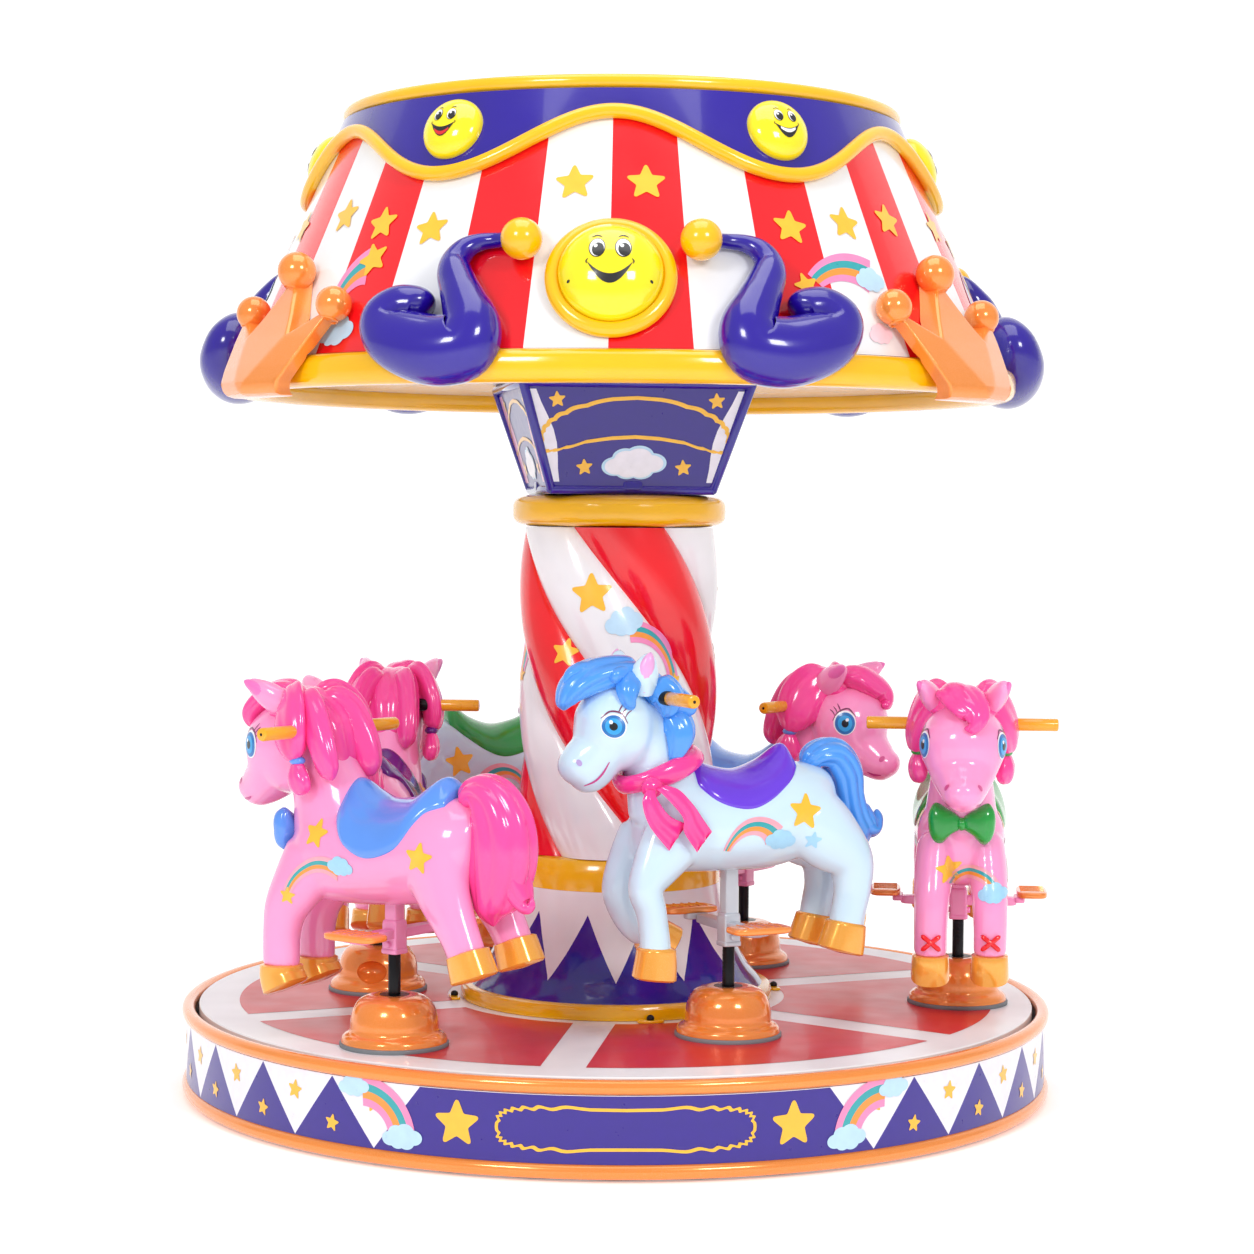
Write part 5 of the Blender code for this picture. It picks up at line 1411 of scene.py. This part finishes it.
def mould(shape):
    """Parts of one kind of horse in its own frame."""
    core = [limb(shape["torso"], 40, 40, (0.06, 0.06)), limb(shape["neck"], 30, 32, (0.1, 0.1)),
            limb(shape["head"], 40, 36, (0.10, 0.10))]
    core += [limb(leg, 40, 28, (0.06, 0.0)) for leg in shape["legs"]]
    core += [egg(centre, half) for centre, half in shape["eggs"]]
    skin = solid_of(core)
    hooves = [limb(rows, 20, 32, (0.10, 0.10), 2.6) for rows in shape["hooves"]]
    ears = [limb(shape["ear"], 24, 24, (0.06, 0.14), side=(0.25, 1, 0), flip=f) for f in (1, -1)]
    lining = [(x + 0.003, y + 0.0105, z + 0.003, w * 0.62, d * 0.66) for x, y, z, w, d in shape["ear"]]
    ears += [limb(lining, 24, 24, (0.06, 0.20), side=(0.25, 1, 0), flip=f, zone=1) for f in (1, -1)]
    hair = [limb(rows, 60, 72, (0.10, 0.14), ridge=r, strands=n, sweep=1.2) for rows, r, n in shape["hair"]]
    for (rows, r, n), flips in zip(shape["locks"], shape["lock_sides"]):
        hair += [limb(rows, 44, 48, (0.14, 0.16), side=(0.3, 1, 0), ridge=r, strands=n, sweep=1.5, flip=f)
                 for f in flips]
    hair += [limb(rows, 70, 84, (0.08, 0.16), ridge=r, strands=n, sweep=1.6) for rows, r, n in shape["tail"]]
    worn = [egg((x, f * y, z), (a, b, c)) for x, y, z, a, b, c in shape["ties"] for f in (1, -1)]
    worn += bow_parts(*shape["bow"]) if "bow" in shape else scarf_parts()
    return dict(skin=arrays(skin), hooves=hooves, ears=ears, hair=hair, worn=worn,
                saddle=saddle_part(shape["saddle"], shape["torso"]),
                face=face_parts(shape, skin, 1) + face_parts(shape, skin, -1),
                stickers=side_stickers(shape, skin, 1) + side_stickers(shape, skin, -1),
                chest=chest_stickers(skin) if "bow" in shape else [])


def ribbons():
    """Two crossed ribbons, one on each front leg."""
    crosses = []
    for y, x in ((0.075, 0.353), (-0.075, 0.373)):
        for f in (1, -1):
            rows = [(x - 0.003, y - 0.025, 0.212 + f * 0.020, 0.007, 0.007), (x + 0.004, y, 0.213, 0.006, 0.006),
                    (x - 0.003, y + 0.025, 0.212 - f * 0.020, 0.007, 0.007)]
            crosses.append(limb(rows, 16, 12, (0.2, 0.2)))
    return crosses


class CAROUSEL_OT_horses(bpy.types.Operator):
    """Six painted horses with manes, saddles, faces and stickers"""
    bl_idname = "carousel.horses"
    bl_label = "Horses"

    def execute(self, context):
        moulds = {kind: mould(shape) for kind, shape in SHAPES.items()}
        for name, r, az, kind, saddle, wear in HORSES:
            m, shape, body = moulds[kind], SHAPES[kind], "rider_" + name
            spot = stand(az, r, FLOOR_TOP, 180)
            skin = paint(shape["skin"], rough=0.12, mottle=0.03)
            piece(name + "_skin", put([m["skin"]], spot), [skin], body, ["horse_" + name], crease=60)
            piece(name + "_ears", put(m["ears"], spot), [skin, ink(shape["ear_ink"])], body)
            piece(name + "_hooves", put(m["hooves"], spot), [paint("gold", metal=0.3, flake=0.08)], body,
                  crease=50)
            piece(name + "_hair", put(m["hair"], spot), [paint(shape["mane"], rough=0.12)], body,
                  crease=70)
            piece(name + "_saddle", put([m["saddle"]], spot), [paint(saddle)], body,
                  crease=60)
            piece(name + shape["worn"], put(m["worn"], spot), [paint(wear)], body)
            eyes = [ink(c) for c in ("#FAFBFF", "#1B74C0", "#2FA6EA", "#7A2A5A", shape["nostril_ink"], "#C8308A",
                                     "#0B0B10")]
            piece(name + "_face", put(m["face"], spot), eyes, body, closed=False)
            stickers = m["stickers"] + (m["chest"] if name in ("right", "back_left") else [])
            piece(name + "_stickers", put(stickers, spot),
                  [ink(c) for c in (STAR, "#A3D8F7", "#F7A8B8", TEAL_BAND, ORANGE_BAND)], body, closed=False)
            if name == "right":
                piece("right_ribbons", put(ribbons(), spot), [paint("red")], body)
        return {'FINISHED'}


def bell_shells():
    """Bell with its hand hole for the inner horses, and whole for the outer ones."""
    skin = spline([(0.036, 0.1235), (0.060, 0.1225), (0.084, 0.1120), (0.099, 0.0900), (0.1055, 0.0650),
                   (0.1075, 0.0420), (0.1120, 0.0345), (0.1200, 0.0290), (0.1260, 0.0225), (0.1285, 0.0140)], 50)
    profile = np.vstack([[(BORE_R, 0.0110), (BORE_R, 0.1150), (0.0360, 0.1150)], skin, [(0.1285, 0.0110)]])
    whole = mesh_of("bell_work", [spun(profile, 96, True)])
    bell = linked("bell_work", whole)
    hole = linked("hole_work", mesh_of("hole_work", [egg((-0.112, 0, 0.062), (0.046, 0.042, 0.030), 24, 40)]))
    mod = bell.modifiers.new("hand_hole", 'BOOLEAN')
    mod.operation, mod.object, mod.solver = 'DIFFERENCE', hole, 'EXACT'
    cut = baked(bell)
    bpy.data.objects.remove(hole, do_unlink=True)
    return {INNER_R: cut, OUTER_R: whole}


def bracket_parts(belly, board_x):
    """Sleeve, stem, crossbar, foot, arms and screws that carry a horse on its post."""
    top = belly + 0.022
    parts = [slab((0, 0, 0.264), (0.0225, 0.0225, 0.042), 9.0),
             slab((0, 0, (0.300 + top) / 2), (0.0175, 0.0175, (top - 0.290) / 2), 12.0),
             slab((0, 0, 0.272), (0.018, 0.152, 0.012), 8.0), slab((0, 0, 0.229), (0.025, 0.025, 0.007), 6.0)]
    for s in (1, -1):
        parts.append(slab((board_x / 2, s * 0.160, 0.276), (0.020 + abs(board_x) / 2, 0.014, 0.008), 6.0))
        parts.append(bar_mesh((0, s * 0.020, 0.246), (0, s * 0.031, 0.246), 0.008, 12))
    return parts


def board_parts(x):
    """Two footboards with five grip ribs each."""
    parts = [slab((x, s * BOARD_Y, 0.290), (0.078, 0.040, 0.0100), 4.5) for s in (1, -1)]
    for s in (1, -1):
        for k in range(-2, 3):
            rib = x + 0.022 * k
            parts.append(bar_mesh((rib, s * (BOARD_Y - 0.031), 0.2996), (rib, s * (BOARD_Y + 0.031), 0.2996),
                                  0.0018, 8))
    return parts


class CAROUSEL_OT_fittings(bpy.types.Operator):
    """Bells, posts, brackets, footboards and handlebars"""
    bl_idname = "carousel.fittings"
    bl_label = "Bells and posts"

    def execute(self, context):
        steel = steel_paint("black_post", linear("#1A1A1E"), 0.3, 0.7)
        rubber = steel_paint("grey_rubber", linear("#7D8388"), 0.6, 0.0)
        foot = [(0.0, 0.0003), (0.1320, 0.0003), (0.1325, 0.0020), (0.1325, 0.0080), (0.1310, 0.0100),
                (0.1290, 0.0108), (0.0, 0.0108)]
        bush = [(BORE_R, 0.1180), (0.0350, 0.1180), (0.0365, 0.1215), (0.0355, 0.1240), (0.0300, 0.1243),
                (BORE_R, 0.1243)]
        post = [bar_mesh((0, 0, 0.047), (0, 0, 0.232), 0.0150, 28)]
        post += [egg((0.0140, 0, 0.160 + 0.010 * k), (0.0025, 0.005, 0.003), 6, 8) for k in range(6)]
        bells = bell_shells()
        for name, r, az, kind, *_ in HORSES:
            shape, body, spot = SHAPES[kind], "rider_" + name, stand(az, r, FLOOR_TOP, 180)
            mesh = bells[r].copy()
            mesh.transform(spot)
            mesh.shade_smooth()
            mesh.set_sharp_from_angle(angle=math.radians(40))
            mesh.materials.clear()
            mesh.materials.append(pearl())
            obj = linked("bell_shell_" + name, mesh)
            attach(obj, "rotor")
            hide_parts("bell_" + name)
            piece("bell_foot_" + name, [moved(spun(foot[::-1], 96), spot)], [rubber], "rotor")
            piece("bell_bush_" + name, [moved(spun(bush, 48, True), spot)], [steel], "rotor")
            piece("post_" + name, put(post, spot), [steel], body, ["carrier_" + name])
            grey = kind == "trot"
            colour = linear("#C9CDD6") if grey else tuple(context.scene.carousel.pink)
            coat = shell_paint("bracket_" + name, colour, 0.3, 0.05, 0.08, 0.2 if grey else 0.0)
            piece("bracket_" + name, put(bracket_parts(shape["belly"], shape["board_x"]), spot), [coat], body)
            piece("footboards_" + name, put(board_parts(shape["board_x"]), spot), [pearl()], body)
            bx, bz = shape["bar"]
            bars, collars = [], []
            for s in (1, -1):
                bars.append(bar_mesh((bx, s * 0.112, bz), (bx, s * 0.2445, bz), 0.0162, 28, bead=0.3))
                bars += [bar_mesh((bx, s * y, bz), (bx, s * (y + 0.004), bz), 0.0164, 28) for y in (0.120, 0.232)]
                collars.append(bar_mesh((bx, s * 0.070, bz), (bx, s * 0.113, bz), 0.0175, 24))
                collars.append(egg((bx, s * 0.2440, bz), (0.0045, 0.0012, 0.0045), 8, 12))
            piece("grips_" + name, put(bars, spot), [paint("grip", rough=0.22, peel=0.06)], body,
                  ["handlebar_" + name])
            piece("grip_collars_" + name, put(collars, spot), [steel], body)
        return {'FINISHED'}


def backdrop():
    """Pale sheet that runs from the floor up behind the ride in a quarter circle."""
    t = np.linspace(0, np.pi / 2, 16)
    y = np.concatenate([[-16, 3.0], 3.0 + 4 * np.sin(t[1:]), [7.0]])[:, None]
    z = np.concatenate([[0, 0], 4 - 4 * np.cos(t[1:]), [16]])[:, None]
    x = np.linspace(-18, 18, 8)[None, :]
    pts = np.stack([x + 0 * y, y + 0 * x, z + 0 * x], axis=-1)
    obj = linked("studio_floor", mesh_of("studio_floor", [facing(grid(pts), (0, 0, 1))], closed=False))
    paper = principled("studio_paper", Base_Color=linear("#F7F7F7"), Roughness=0.9, Specular_IOR_Level=0.1,
                       Emission_Color=(1, 1, 1, 1), Emission_Strength=0.30)[0]
    obj.data.materials.append(paper)


def add_camera():
    """Camera solved from the photo: its place, lens and three small turns."""
    forward = Vector((math.sin(YAW) * math.cos(PITCH), math.cos(YAW) * math.cos(PITCH), math.sin(PITCH)))
    right = Vector((math.cos(YAW), -math.sin(YAW), 0))
    up = right.cross(forward)
    right, up = math.cos(ROLL) * right + math.sin(ROLL) * up, math.cos(ROLL) * up - math.sin(ROLL) * right
    data = bpy.data.cameras.new("camera")
    data.sensor_width = SENSOR_MM
    data.lens = SENSOR_MM * FOCAL_PX / PHOTO_PX
    data.clip_end = 200.0
    camera = linked("camera", data)
    camera.matrix_world = Matrix.Translation(CAMERA_AT) @ Matrix((right, up, -forward)).transposed().to_4x4()
    bpy.context.scene.camera = camera


class CAROUSEL_OT_stage(bpy.types.Operator):
    """Pale floor and backdrop, three soft boxes, and the camera"""
    bl_idname = "carousel.stage"
    bl_label = "Stage"

    def execute(self, context):
        backdrop()
        context.scene.view_settings.view_transform = "Standard"
        world = bpy.data.worlds.new("studio")
        world.use_nodes = True
        world.node_tree.nodes["Background"].inputs["Color"].default_value = (1, 1, 1, 1)
        world.node_tree.nodes["Background"].inputs["Strength"].default_value = 0.58
        context.scene.world = world
        for name, place, size, power in (("left_box", (-3.4, -6.4, 4.6), 1.6, 150),
                                         ("right_box", (3.4, -6.4, 4.6), 1.6, 150),
                                         ("top_box", (0, -1.0, 6.5), 4.0, 110)):
            light = bpy.data.lights.new(name, 'AREA')
            light.size = size
            light.energy = power
            lamp = linked(name, light)
            lamp.location = place
            lamp.rotation_euler = (Vector((0, 0, 1.2)) - Vector(place)).to_track_quat('-Z', 'Y').to_euler()
        add_camera()
        return {'FINISHED'}


class CAROUSEL_PT_panel(bpy.types.Panel):
    """A button for each group of pieces, and the settings"""
    bl_label = "Carousel"
    bl_idname = "CAROUSEL_PT_panel"
    bl_space_type = 'VIEW_3D'
    bl_region_type = 'UI'
    bl_category = "Carousel"

    def draw(self, context):
        for cls in OPERATORS:
            self.layout.operator(cls.bl_idname)
        for key in CarouselSettings.__annotations__:
            self.layout.prop(context.scene.carousel, key)


OPERATORS = (CAROUSEL_OT_stage, CAROUSEL_OT_platform, CAROUSEL_OT_column, CAROUSEL_OT_sign, CAROUSEL_OT_canopy,
             CAROUSEL_OT_lamps, CAROUSEL_OT_crowns, CAROUSEL_OT_horns, CAROUSEL_OT_fittings, CAROUSEL_OT_horses)
CLASSES = (CarouselSettings, *OPERATORS, CAROUSEL_PT_panel)


def register():
    """Register the classes and the settings."""
    for cls in CLASSES:
        bpy.utils.register_class(cls)
    bpy.types.Scene.carousel = PointerProperty(type=CarouselSettings)


def unregister():
    """Take the settings and the classes away again."""
    del bpy.types.Scene.carousel
    for cls in reversed(CLASSES):
        bpy.utils.unregister_class(cls)


def main():
    """Register the add-on and build every piece."""
    register()
    for cls in OPERATORS:
        group, call = cls.bl_idname.split(".")
        getattr(getattr(bpy.ops, group), call)()
    bpy.context.view_layer.update()


if __name__ == "__main__":
    main()
